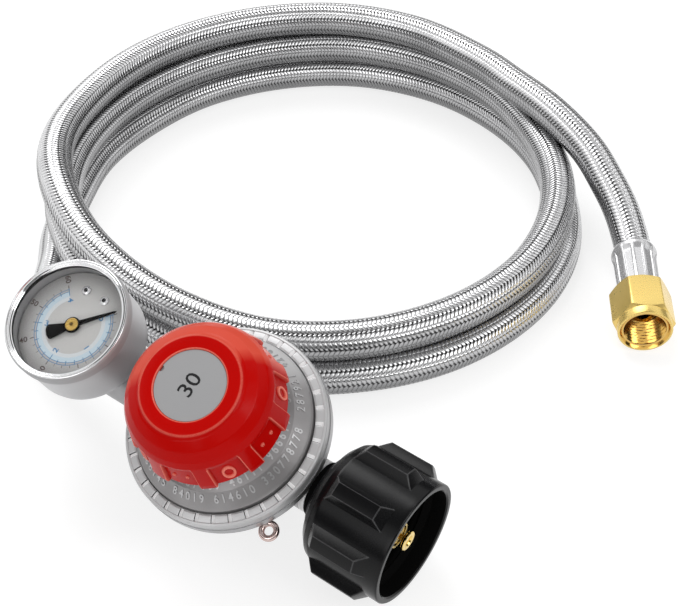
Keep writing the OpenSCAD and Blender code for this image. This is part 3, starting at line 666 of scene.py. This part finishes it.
# raised dots and ovals on the panels between the ribs; ovalShares are an oval's top, from its outer to its
# inner edge, and the foot of its inner wall
knobMarks = {
    "radius": 23.75, "height": 34.2, "lean": 0.19, "sunk": -0.1,
    "dotHeight": 34.6, "dotApart": 2.2, "dotSize": 0.75, "dotSides": 16, "dotTop": 0.42,
    "dotRing": (0.6, 0.34),
    "ovalWide": 2.1, "ovalTall": 3.3, "ovalThick": 0.6, "ovalSides": 40, "ovalTop": 0.4,
    "ovalShares": (0.93, 0.66, 0.56),
}


def onPanel(turnDegrees, along, up, outward):
    radius = knobMarks["radius"] + (knobMarks["height"] - up) * knobMarks["lean"] + outward
    return polar(radius, math.radians(turnDegrees) + along / knobMarks["radius"], up)


def raisedDot(turnDegrees, along):
    up, size, sides = knobMarks["dotHeight"], knobMarks["dotSize"], knobMarks["dotSides"]
    verts = [onPanel(turnDegrees, along, up, knobMarks["dotTop"])]
    for share, out in (knobMarks["dotRing"], (1.0, knobMarks["sunk"])):
        verts += [onPanel(turnDegrees, along + size * share * c, up + size * share * s, out)
                  for c, s in circlePoints(sides)]
    faces = [(0, 1 + k, 1 + (k + 1) % sides) for k in range(sides)]
    faces += [(1 + k, 1 + sides + k, 1 + sides + (k + 1) % sides, 1 + (k + 1) % sides) for k in range(sides)]
    return verts, faces


def raisedOval(turnDegrees):
    wide, tall, thick = knobMarks["ovalWide"], knobMarks["ovalTall"], knobMarks["ovalThick"]
    sides, sunk, top = knobMarks["ovalSides"], knobMarks["sunk"], knobMarks["ovalTop"]
    outer, inner, foot = knobMarks["ovalShares"]
    verts, faces = [], []
    for c, s in circlePoints(sides):
        for share, out in ((1.0, sunk), (outer, top), (inner, top), (foot, sunk)):
            up = knobMarks["height"] + (tall - thick * (1 - share)) * share * s
            verts.append(onPanel(turnDegrees, wide * share * c, up, out))
    for k in range(sides):
        m = (k + 1) % sides
        faces += [(4 * k + j, 4 * k + j + 1, 4 * m + j + 1, 4 * m + j) for j in range(3)]
    return verts, faces


def makeKnobMarks():
    parts = []
    for panel in range(knob["ribs"]):
        middle = 360 / knob["ribs"] * panel
        if panel % 2:
            parts.append(raisedOval(middle))
        else:
            parts += [raisedDot(middle, -knobMarks["dotApart"]), raisedDot(middle, knobMarks["dotApart"])]
    piece = makePiece("knobMarks", joined(parts), bodyPlace, "knob_group", sharpAngle=50)
    dress(piece, "redPlastic")


makeKnob()
makeKnobMarks()
print("knob made")


# crimp ring: pressed tiles with a notch between them and a smooth outer edge
crimpRing = {
    "count": 36, "first": -1, "half": 1.35, "depth": 0.55, "deepest": -0.45, "around": 1440, "top": 14.2,
    "rim": 32.2, "inner": (29.3, 29.6), "innerShare": 0.6, "outer": (31.9, 32.15),
    "dark": -0.6, "tile": (29.5, 32.0),
}


def crimpOff(angle):
    # -1 to 1 across the notch between two tiles
    first, half = math.radians(crimpRing["first"]), math.radians(crimpRing["half"])
    return angleOff(angle, first, crimpRing["count"]) / half


def makeCrimpRing():
    line = filleted([
        (31.4, 10.8), (33.0, 10.8, 0.2), (33.1, 14.2, 0.5), (32.75, 14.75, 0.3), (32.15, 14.9, 0.2),
        (31.95, 14.78, 0.1), (31.0, 15.1), (29.95, 15.3, 0.25), (29.35, 15.1, 0.2), (29.3, 13.85),
        (31.4, 13.85)], loop=True)
    deepest = crimpRing["deepest"]

    def crimped(radius, angle, height):
        off = crimpOff(angle)
        if height < crimpRing["top"] or radius > crimpRing["rim"] or abs(off) >= 1:
            return radius, height
        # steep on one side, a long slope on the other
        dip = (1 + off) / (1 + deepest) if off < deepest else (1 - off) / (1 - deepest)
        inner = smoothStep(*crimpRing["inner"], radius)
        outer = 1 - smoothStep(*crimpRing["outer"], radius)
        return radius, height - crimpRing["depth"] * dip * max(inner, crimpRing["innerShare"]) * outer

    # painted light: in each notch the steep side takes the painted shade and the long slope the painted
    # highlight
    def ringFinish(radius, angle, height):
        off, (inside, outside) = crimpOff(angle), crimpRing["tile"]
        if height > crimpRing["top"] and inside < radius < outside and abs(off) < 1:
            return 1 if off < crimpRing["dark"] else 2
        return 0

    shape = lathe(line, crimpRing["around"], loop=True, reshape=crimped)
    piece = makePiece("crimpedRing", shape, bodyPlace, "regulator", sharpAngle=32)
    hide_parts("crimp_ring")
    dress(piece, "pressedSteel")
    refinish(piece, bodyPlace, ("paintedShadeCrimp", "paintedHighlightWhite"), ringFinish)


# seal eye: a thick ring on a short strap
sealEye = {
    "turn": -35, "centre": 35.2, "ring": 2.4, "thick": 1.0, "middle": 6.05, "tall": 1.04,
    "strap": ((29.6, 1.6), (32.0, 1.6), (33.1, 1.2), (33.6, 0.8)), "strapEdge": 0.3,
    "strapLow": (5.5, 5.75), "strapHigh": (6.8, 7.08),
}


def makeSealEye():
    wire = [(sealEye["ring"] + sealEye["thick"] * c, sealEye["middle"] + sealEye["tall"] * s)
            for c, s in circlePoints(20)]
    verts, faces = lathe(wire, 64, loop=True)
    eye = [(x + sealEye["centre"], y, z) for x, y, z in verts], faces
    (bottom, lowEdge), (highEdge, top) = sealEye["strapLow"], sealEye["strapHigh"]
    strap = []
    for x, half in sealEye["strap"]:
        flat = half - sealEye["strapEdge"]
        strap += [(x, y, z) for y, z in ((-half, lowEdge), (-flat, bottom), (flat, bottom), (half, lowEdge),
                                         (half, highEdge), (flat, top), (-flat, top), (-half, highEdge))]
    shape = joined([eye, (strap, ringFaces(len(sealEye["strap"]), 8))])
    piece = makePiece("sealEye", shape, bodyPlace @ turned("Z", sealEye["turn"]), "regulator", sharpAngle=50)
    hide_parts("seal_eye")
    dress(piece, "eyeMetal")


makeCrimpRing()
makeSealEye()
print("crimp ring and seal eye made")


# gauge: printed dial, with marks as (inner radius, outer radius, width)
dial = {
    "face": 29.1, "lift": 0.03, "start": 45, "sweep": 270, "arcSteps": 120, "size": 2.6, "bold": 0.05,
    "band": (10.9, 12.6), "bandLift": 0.01, "paleBand": (9.6, 10.9),
    "screwRing": 12.7, "screwAngles": (72, 108), "socketRadius": 0.72, "socketLift": 0.62,
    "pivotRadius": 0.55, "pivotHeight": 30.92, "discSides": 24,
}
outerScale = {
    "lift": 0.0, "arcs": (), "marks": 24, "every": 4, "long": (13.6, 15.0, 0.26), "short": (13.6, 14.5, 0.16),
    "numbers": [str(10 * i) for i in range(7)], "radius": 17.25, "firstStretch": 1.0, "stretch": 1.1,
}
innerScale = {
    "lift": 0.02, "arcs": ((12.55, 12.75), (13.35, 13.55)), "marks": 20, "every": 5,
    "long": (11.2, 13.9, 0.24), "short": (12.0, 13.5, 0.24),
    "numbers": [str(i) for i in range(5)], "radius": 9.5, "firstStretch": 1.2, "stretch": 1.2,
}


def arcStrip(inner, outer, height):
    verts = []
    steps = dial["arcSteps"]
    for i in range(steps + 1):
        angle = math.radians(dial["start"] - dial["sweep"] * i / steps)
        verts += [polar(inner, angle, height), polar(outer, angle, height)]
    return verts, [(2 * i, 2 * i + 1, 2 * i + 3, 2 * i + 2) for i in range(steps)]


def tickMark(angle, inner, outer, width, height):
    a = math.radians(angle)
    along, side = Vector((math.cos(a), math.sin(a))), Vector((-math.sin(a), math.cos(a))) * width / 2
    corners = [along * inner - side, along * outer - side, along * outer + side, along * inner + side]
    return [(c.x, c.y, height) for c in corners], [(0, 1, 2, 3)]


def numeral(text, size, place, stretch, bold, thick=0.0):
    curve = bpy.data.curves.new("numeral", "FONT")
    curve.offset = bold
    curve.extrude = thick
    curve.body = text
    curve.size = size
    curve.align_x = "CENTER"
    curve.align_y = "CENTER"
    curve.resolution_u = 3
    holder = addObject("numeral", curve)
    bpy.context.view_layer.update()
    mesh = bpy.data.meshes.new_from_object(holder.evaluated_get(bpy.context.evaluated_depsgraph_get()))
    verts = [tuple(place @ Vector((v.co.x * stretch, v.co.y, v.co.z))) for v in mesh.vertices]
    faces = [tuple(p.vertices) for p in mesh.polygons]
    bpy.data.objects.remove(holder)
    bpy.data.curves.remove(curve)
    bpy.data.meshes.remove(mesh)
    return verts, faces


def scaleParts(scale):
    height = dial["face"] + dial["lift"] + scale["lift"]
    parts = [arcStrip(inner, outer, height) for inner, outer in scale["arcs"]]
    for i in range(scale["marks"] + 1):
        angle = dial["start"] - dial["sweep"] * i / scale["marks"]
        parts.append(tickMark(angle, *scale["short" if i % scale["every"] else "long"], height))
    for i, text in enumerate(scale["numbers"]):
        angle = dial["start"] - dial["sweep"] * i / (len(scale["numbers"]) - 1)
        place = moved(*polar(scale["radius"], math.radians(angle), height)) @ turned("Z", angle + 180)
        stretch = scale["stretch" if i else "firstStretch"]
        parts.append(numeral(text, dial["size"], place, stretch, dial["bold"]))
    return parts


def makeDialPrint():
    top = dial["face"] + dial["lift"]
    band, paleBand = arcStrip(*dial["band"], top + dial["bandLift"]), arcStrip(*dial["paleBand"], top)
    for name, parts, inkName in (("dialScale", scaleParts(outerScale), "inkDark"),
                                 ("dialInnerScale", scaleParts(innerScale), "inkBlue"),
                                 ("dialBand", [band], "inkSky"), ("dialPaleBand", [paleBand], "inkPale")):
        dress(makePiece(name, joined(parts), gaugePlace, "regulator"), inkName)


# raised plain numbers round the bonnet
bonnetNumbers = {
    "rows": ({"radius": 25.9, "count": 70, "size": 4.1, "from": (28.4, 17.0), "to": (24.2, 21.2)},
             {"radius": 22.3, "count": 60, "size": 4.1, "from": (24.2, 21.2), "to": (16.0, 25.6)}),
    "gaps": (5, 6, 13, 20, 21, 28, 36, 37, 44, 52, 58, 65),
    "thick": 0.2, "bold": 0.02, "narrow": 0.74, "dice": 11,
}


def makeBonnetNumbers():
    dice = random.Random(bonnetNumbers["dice"])
    upright = moved(0, 0, 0)
    shapes = [numeral(str(k), 1.0, upright, 1.0, bonnetNumbers["bold"], 1.0) for k in range(10)]
    parts = []
    for row in bonnetNumbers["rows"]:
        (outer, low), (inner, high) = row["from"], row["to"]
        slope = math.hypot(outer - inner, high - low)
        inward, upward = (outer - inner) / slope, (high - low) / slope
        for k in range(row["count"]):
            digit = dice.randrange(10)
            if k in bonnetNumbers["gaps"]:
                continue
            flatVerts, faces = shapes[digit]
            middle, size = row["radius"], row["size"]
            level = low + (outer - middle) / inward * upward
            verts = []
            for u, v, w in flatVerts:
                out = w * bonnetNumbers["thick"]
                radius = middle - v * size * inward + out * upward
                angle = 2 * math.pi * k / row["count"] + u * size * bonnetNumbers["narrow"] / middle
                height = level + v * size * upward + out * inward
                verts.append(polar(radius, angle, height))
            parts.append((verts, faces))
    piece = makePiece("bonnetNumbers", joined(parts), bodyPlace, "regulator", sharpAngle=30)
    # painted highlight: the numbers take a paler grey than the bonnet
    dress(piece, "paintedHighlightNumberGrey")


labelPrint = {"text": "30", "size": 7.0, "turn": 90, "height": 48.73, "stretch": 1.1, "bold": 0.04}


def makeLabelPrint():
    place = moved(0, 0, labelPrint["height"]) @ turned("Z", labelPrint["turn"])
    shape = numeral(labelPrint["text"], labelPrint["size"], place, labelPrint["stretch"], labelPrint["bold"])
    dress(makePiece("labelPrint", shape, bodyPlace, "knob_group"), "inkBlack")


# bezel: two beads with a groove between them, and a lip over the lens
bezel = {"around": 256, "sideRadius": 20.62, "sideTop": 35.75}


def makeBezel():
    line = filleted([
        (20.3, 31.6), (20.85, 31.6, 0.15), (21, 31.9, 0.1), (21, 35.0, 0.55), (20.5, 35.86, 0.35),
        (20.1, 35.88, 0.2), (19.95, 35.6, 0.1), (19.75, 35.62, 0.1), (19.45, 35.68, 0.15),
        (19.2, 35.36, 0.12), (18.85, 35.3, 0.12), (18.62, 35.02), (19.8, 35.01), (19.8, 33.4), (20.3, 33.4)],
        loop=True)
    shape = lathe(line, bezel["around"], loop=True)
    piece = makePiece("gaugeBezel", shape, gaugePlace, "regulator", sharpAngle=40)
    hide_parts("gauge_bezel")
    dress(piece, "polishedChrome")
    refinish(piece, gaugePlace, ("bezelSide",),
             lambda radius, angle, height: radius > bezel["sideRadius"] and height < bezel["sideTop"])


def disc(x, y, height, radius):
    verts = [(x + radius * c, y + radius * s, height) for c, s in circlePoints(dial["discSides"])]
    return verts, [tuple(range(dial["discSides"]))]


def makeScrewSockets():
    # painted shade: black discs stand in for the shade in the two dial screws' sockets; a dark disc covers
    # the pivot in the hub
    height = dial["face"] + dial["socketLift"]
    sockets = [disc(*polar(dial["screwRing"], math.radians(angle), height), dial["socketRadius"])
               for angle in dial["screwAngles"]]
    dress(makePiece("screwSockets", joined(sockets), gaugePlace, "regulator"), "inkBlack")
    pivot = disc(0, 0, dial["pivotHeight"], dial["pivotRadius"])
    dress(makePiece("needlePivot", pivot, gaugePlace, "needle_group"), "darkPivotBrass")


def makeNeedleHub():
    line = filleted([(2.15, 30.3), (2.2, 30.7, 0.1), (2.0, 30.9, 0.12), (1.5, 30.86), (1.3, 30.82, 0.1),
                     (0.75, 30.86, 0.1), (0.6, 30.65, 0.08), (0.2, 30.6)])
    piece = makePiece("needleHub", lathe(line, 64), gaugePlace, "needle_group", sharpAngle=35)
    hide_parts("needle_hub")
    dress(piece, "hubBrass")


makeBonnetNumbers()
makeLabelPrint()
makeBezel()
makeNeedleHub()
makeScrewSockets()
makeDialPrint()
print("dial printed")


# hand nut: eight ribs outside, a coarse thread in its mouth
handNut = {
    "radius": 20.5, "waist": 20.15, "shoulder": (41.9, 43.4), "around": 720,
    "ribs": 8, "firstRib": 2, "ribRadius": 23.6, "baseHalf": 11.0, "topHalf": 5.5,
    "ends": (43.2, 45.8, 60.8, 63.8), "ribSteps": 10, "ribGap": 0.3, "middleFrom": 47.3, "middleRows": 13,
    "mouth": 68.5, "lead": 18.2, "bore": 16.7, "floor": 43.2, "threadTop": 60.8, "threadStep": 0.3,
    "threadRows": 40, "threadPitch": 3.6, "threadDepth": 0.5, "darkEdge": 0.12, "darkFrom": 43.5,
}


def makeHandNut():
    outer, waist, mouth, lead, bore = (handNut[k] for k in ("radius", "waist", "mouth", "lead", "bore"))
    low, lowTop, highTop, high = handNut["ends"]
    steps, gap = handNut["ribSteps"], handNut["ribGap"]
    heights = [low + (lowTop - low) * k / steps for k in range(steps + 1)]
    heights += [high - (high - highTop) * k / steps for k in range(steps + 1)]
    heights += [lowTop + gap, highTop - gap, low - gap, high + gap]
    heights += [handNut["middleFrom"] + k for k in range(handNut["middleRows"])]
    line = [(9.3, 36.4), (12.8, 36.4, 0.3), (13.6, 37.2, 0.3), (17, 38.8, 0.6), (19.5, 41, 0.6)]
    line += [(waist + (outer - waist) * smoothStep(*handNut["shoulder"], h), h) for h in sorted(heights)]
    line += [(outer, 66.6, 0.3), (outer, 68.1, 0.25), (waist, mouth, 0.2), (lead + 0.5, mouth, 0.15),
             (lead, mouth - 0.5, 0.15), (lead, mouth - 5.4, 0.2), (bore, mouth - 7.4, 0.2)]
    line += [(bore, handNut["threadTop"] - handNut["threadStep"] * k) for k in range(handNut["threadRows"])]
    line += [(15.2, 48.0), (15.2, handNut["floor"]), (9.3, handNut["floor"])]

    def shaped(radius, angle, height):
        if abs(radius - bore) < 0.05 and height < handNut["threadTop"] + 0.1:
            turn = (height / handNut["threadPitch"] + angle / (2 * math.pi)) % 1
            return radius + handNut["threadDepth"] * (0.5 + 0.5 * math.cos(2 * math.pi * turn)) ** 1.5, height
        if radius < waist - 0.05 or not low < height < high:
            return radius, height
        off = math.degrees(abs(angleOff(angle, math.radians(handNut["firstRib"]), handNut["ribs"])))
        share = min(ramp(handNut["baseHalf"], handNut["topHalf"], off), ramp(low, lowTop, height),
                    ramp(high, highTop, height))
        return radius + (handNut["ribRadius"] - radius) * share, height

    shape = lathe(filleted(line, loop=True), handNut["around"], loop=True, reshape=shaped)
    piece = makePiece("cylinderHandNut", shape, inletPlace, "hand_nut_group", sharpAngle=20)
    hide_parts("hand_nut")
    dress(piece, "blackPlastic")
    # painted shade: the inside of the mouth takes a darker, duller finish
    darkRadius = lead + handNut["darkEdge"]
    refinish(piece, inletPlace, ("paintedShadeBore",),
             lambda radius, angle, height: radius < darkRadius and height > handNut["darkFrom"])


makeHandNut()
print("hand nut made")


# crimped end ferrule: a bead at its rear, then pressed flats with ridges between them
endFerrule = {
    "rear": -43.8, "front": -20.4, "skin": 7.5, "lip": 0.3, "pressFrom": (2.2, 6.0), "around": 480,
    "flats": 12, "flatRadius": 7.62, "flatTaper": 0.014, "ridge": 0.42, "ridgeHalf": 3.2, "ridgeFoot": 5.6,
}


def makeEndFerrule():
    rear, front, (start, full) = endFerrule["rear"], endFerrule["front"], endFerrule["pressFrom"]
    line = [(7.2, rear), (7.8, rear, 0.3), (8.3, rear + 0.4, 0.4), (8.9, rear + 2.0, 0.8),
            (8.9, rear + 3.6, 0.8), (8.4, rear + 5.4, 1.0)]
    line += [(8.3 - 0.025 * k, rear + 6.4 + k) for k in range(16)]
    line += [(7.75, front - 0.4, 0.2), (7.3, front, 0.2), (5.5, front), (5.5, front - 2), (5.5, -33),
             (7.2, -34)]
    ridgeHalf, ridgeFoot = math.radians(endFerrule["ridgeHalf"]), math.radians(endFerrule["ridgeFoot"])

    def pressed(radius, angle, height):
        if radius < endFerrule["skin"] or height < rear + start or height > front - endFerrule["lip"]:
            return radius, height
        off = abs(angleOff(angle, 0, endFerrule["flats"]))
        between = abs(angleOff(angle, math.pi / endFerrule["flats"], endFerrule["flats"]))
        flat = endFerrule["flatRadius"] / math.cos(off) - endFerrule["flatTaper"] * (height - rear - full)
        flat += endFerrule["ridge"] * (1 - smoothStep(ridgeHalf, ridgeFoot, between))
        return radius + (min(flat, radius) - radius) * smoothStep(rear + start, rear + full, height), height

    shape = lathe(filleted(line, loop=True), endFerrule["around"], loop=True, reshape=pressed)
    piece = makePiece("endFerrule", shape, freeEndPlace, "regulator", sharpAngle=40)
    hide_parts("end_ferrule")
    dress(piece, "pressedFerrule")
    return piece


# flare nut: a hexagon, a round collar and a threaded mouth
flareNut = {
    "half": 10.3, "length": 20, "collar": 3.6, "collarRadius": 10.2, "bore": 7.95, "threadEnd": -13.6,
    "seat": -16.4, "tail": 5.56, "pitch": 1.41, "depth": 0.66, "threadRows": 104, "around": 360, "blunt": 0.3,
    "mouthRadius": 9.3,
}


def makeFlareNut():
    half, length, collar, collarRadius = (flareNut[k] for k in ("half", "length", "collar", "collarRadius"))
    tail, seat, threadEnd, around = (flareNut[k] for k in ("tail", "seat", "threadEnd", "around"))
    corner, blunt = half / math.cos(math.radians(30)), flareNut["blunt"]
    rowStep = (threadEnd + 1.1) / flareNut["threadRows"]
    inside = [(collarRadius - 0.15, -0.12), (collarRadius - 0.4, 0.0), (9.35, -0.02), (9.2, -0.15),
              (8.6, -0.95)]
    inside += [(flareNut["bore"], -1.05 + rowStep * k) for k in range(flareNut["threadRows"] + 1)]
    inside += [(8.2, threadEnd - 0.1), (8.2, seat + 2.1), (7.6, seat + 2.1), (tail, seat), (tail, -length)]
    columns = []
    for k in range(around):
        angle = 2 * math.pi * k / around
        hexRadius = half / math.cos(angleOff(angle, 0, 6))
        past = max(hexRadius - (corner - blunt), 0)
        hexRadius = min(hexRadius, corner - blunt + blunt * (1 - math.exp(-past / blunt)))
        over = (hexRadius - collarRadius) / (corner - collarRadius)
        front, back = -collar - 1.1 * over, -length + 1.2 * over
        column = [(tail, -length), (half - 0.7, -length), (half - 0.4, -length + 0.05),
                  (hexRadius - 0.05, back - 0.1), (hexRadius, back + 0.12), (hexRadius, -length / 2),
                  (hexRadius, front - 0.15), (hexRadius - 0.05, front + 0.05),
                  (collarRadius + 0.03, -collar - 0.02), (collarRadius, -collar + 0.2), (collarRadius, -0.4)]
        for radius, height in inside:
            if threadEnd < height < -1.0:
                turn = (height / flareNut["pitch"] + angle / (2 * math.pi)) % 1
                fade = smoothStep(1.0, 1.5, -height)
                radius = radius - 0.04 + flareNut["depth"] * (1 - abs(2 * turn - 1)) * fade
            column.append((radius, height))
        columns.append(column)
    verts, circle = [], circlePoints(around)
    for row in zip(*columns):
        verts += [(radius * c, radius * s, height) for (radius, height), (c, s) in zip(row, circle)]
    shape = verts, ringFaces(len(columns[0]), around, loop=True)
    piece = makePiece("flareSwivelNut", shape, freeEndPlace, "flare_nut_body", sharpAngle=32)
    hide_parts("flare_nut")
    dress(piece, "nutBrass")
    refinish(piece, freeEndPlace, ("threadBrass",),
             lambda radius, angle, height: radius < flareNut["mouthRadius"] and height > seat)
    return piece


ferrulePiece = makeEndFerrule()
nutPiece = makeFlareNut()
print("free end made")


# springs: coils made in place and baked into their mesh
springs = {
    "mainSpring": {"node": "main_spring", "place": bodyPlace, "radius": 7.6, "low": 13.7, "high": 27.6,
                   "turns": 5, "wire": 0.9, "finish": "brightSteel",
                   "lowBody": "diaphragm_group", "highBody": "regulator"},
    "poppetSpring": {"node": "poppet_spring", "place": inletPlace, "radius": 2.5, "low": 56.9, "high": 61.6,
                     "turns": 3, "wire": 0.35, "finish": "turnedBrass",
                     "lowBody": "regulator", "highBody": "poppet_body"},
}


def makeSpring(name, setup):
    sides, around = 10, 32
    count = setup["turns"] * around
    up = Vector((0, 0, 1))
    verts = []
    for i in range(count + 1):
        angle = 2 * math.pi * i / around
        outward = Vector(polar(1, angle, 0))
        centre = outward * setup["radius"] + up * (setup["low"] + (setup["high"] - setup["low"]) * i / count)
        verts += [centre + setup["wire"] * (c * outward + s * up) for c, s in circlePoints(sides)]
    piece = makePiece(name, (verts, ringFaces(count + 1, sides)), setup["place"], None, sharpAngle=60)
    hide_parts(setup["node"])
    dress(piece, setup["finish"])
    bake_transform(piece)


for name, setup in springs.items():
    makeSpring(name, setup)
print("springs made")


# finishes on the nodes that keep their own shape
nodeFinish = {
    "castGrey": ("lower_body", "gauge_stem"),
    "bonnetGrey": ("bonnet",),
    "satinCase": ("gauge_case",),
    "labelFoil": ("knob_label",),
    "dialFace": ("gauge_dial",),
    "lensGlass": ("gauge_lens",),
    "needlePaint": ("needle",),
    # painted highlight: the nut collar is painted near white
    "paintedHighlightWhite": ("nut_collar",),
    "paintedShadeBore": ("nut_bushing",),
    "paleBrass": ("inlet_nipple", "inlet_poppet"),
    "blackRubber": ("diaphragm", "valve_disc", "lens_gasket", "nipple_oring"),
    "brightSteel": ("lever_pin", "vent_screen", "spring_button", "adjusting_screw", "diaphragm_plate",
                    "lever", "dial_screws", "gauge_link", "outlet_ferrule"),
    "turnedBrass": ("orifice_nozzle", "diaphragm_stem", "valve_stem", "bourdon_tube", "movement_frame",
                    "sector_gear", "pinion", "hose_stem", "flare_tail"),
}
for finishName, nodeNames in nodeFinish.items():
    for node in (nodes[name] for name in nodeNames):
        if len(node.material_slots) == 0:
            node.data.materials.append(paint[finishName])
        for nodeSlot in node.material_slots:
            nodeSlot.material = paint[finishName]
print("nodes finished")


# studio: a pale floor, an even sky, three soft lamps, and dark cards that only reflections see
studio = {
    "worldLight": 0.52, "floorHalf": 3.0, "floorHeight": -0.0002, "floorShade": 0.8, "seenShade": 0.34,
    "seenGlow": 0.75, "lampAim": (-0.03, 0.1, 0.02),
    "lamps": [
        {"name": "keyLamp", "position": (-0.7, 0.5, 1.3), "size": 0.9, "watts": 12},
        {"name": "sideLamp", "position": (1.2, 0.1, 0.9), "size": 0.7, "watts": 5},
        {"name": "frontLamp", "position": (0.1, -1.3, 0.8), "size": 0.8, "watts": 4},
    ],
    "lowCard": {"radius": 1.7, "levels": (0.10, 0.78), "from": -150, "to": 138, "steps": 48, "shade": 0.03},
    "topCard": {"half": 1.1, "height": 2.0, "shade": 0.12},
}


def rayShare(tree):
    # 1 for rays that see the background: straight, in a gloss or through glass
    path = addNode(tree, "LightPath").outputs
    seen = mathNode(tree, "MAXIMUM", path["Is Camera Ray"], path["Is Glossy Ray"])
    return mathNode(tree, "MAXIMUM", seen, path["Is Transmission Ray"])


def square(half, height):
    corners = [(-half, -half, height), (half, -half, height), (half, half, height), (-half, half, height)]
    return corners, [(0, 1, 2, 3)]


def stagePiece(name, shape):
    # a piece of the set, with an empty material to fill
    verts, faces = shape
    mesh = bpy.data.meshes.new(name)
    mesh.from_pydata(verts, [], faces)
    piece = addObject(name, mesh)
    material, tree = newMaterial(name)
    tree.nodes.clear()
    mesh.materials.append(material)
    return piece, tree


def makeFloor():
    tree = stagePiece("studioFloor", square(studio["floorHalf"], studio["floorHeight"]))[1]
    plain, seen = (addNode(tree, "BsdfDiffuse", {"Color": [shade] * 3}).outputs[0]
                   for shade in (studio["floorShade"], studio["seenShade"]))
    glow = addNode(tree, "Emission", {"Strength": studio["seenGlow"]}).outputs[0]
    lit = addNode(tree, "AddShader", {0: seen, 1: glow}).outputs[0]
    mix = addNode(tree, "MixShader", {0: rayShare(tree), 1: plain, 2: lit}).outputs[0]
    addNode(tree, "OutputMaterial", {0: mix})


def makeWorld():
    scene.world = bpy.data.worlds.new("studioWorld")
    scene.world.use_nodes = True
    tree = scene.world.node_tree
    strength = rangeNode(tree, rayShare(tree), 0.0, 1.0, studio["worldLight"], 1.0)
    feedInputs(tree, tree.nodes["Background"], {"Color": (1, 1, 1), "Strength": strength})


def makeLamps():
    for lamp in studio["lamps"]:
        data = bpy.data.lights.new(lamp["name"], "AREA")
        data.shape = "SQUARE"
        data.size = lamp["size"]
        data.energy = lamp["watts"]
        aimFrom(addObject(lamp["name"], data), lamp["position"], studio["lampAim"])


def makeCards():
    # a low wall round the set and a sheet above it
    low, top = studio["lowCard"], studio["topCard"]
    wall = []
    for k in range(low["steps"] + 1):
        angle = math.radians(low["from"] + (low["to"] - low["from"]) * k / low["steps"])
        wall += [polar(low["radius"], angle, level) for level in low["levels"]]
    wallFaces = [(2 * k, 2 * k + 2, 2 * k + 3, 2 * k + 1) for k in range(low["steps"])]
    for name, shape, shade in (("lowCard", (wall, wallFaces), low["shade"]),
                               ("topCard", square(top["half"], top["height"]), top["shade"])):
        card, tree = stagePiece(name, shape)
        for ray in ("camera", "diffuse", "transmission", "volume_scatter", "shadow"):
            setattr(card, "visible_" + ray, False)
        addNode(tree, "OutputMaterial", {0: addNode(tree, "Emission", {"Color": [shade] * 3}).outputs[0]})


makeFloor()
makeWorld()
makeLamps()
makeCards()
scene.view_settings.view_transform = "Standard"
print("studio lit")
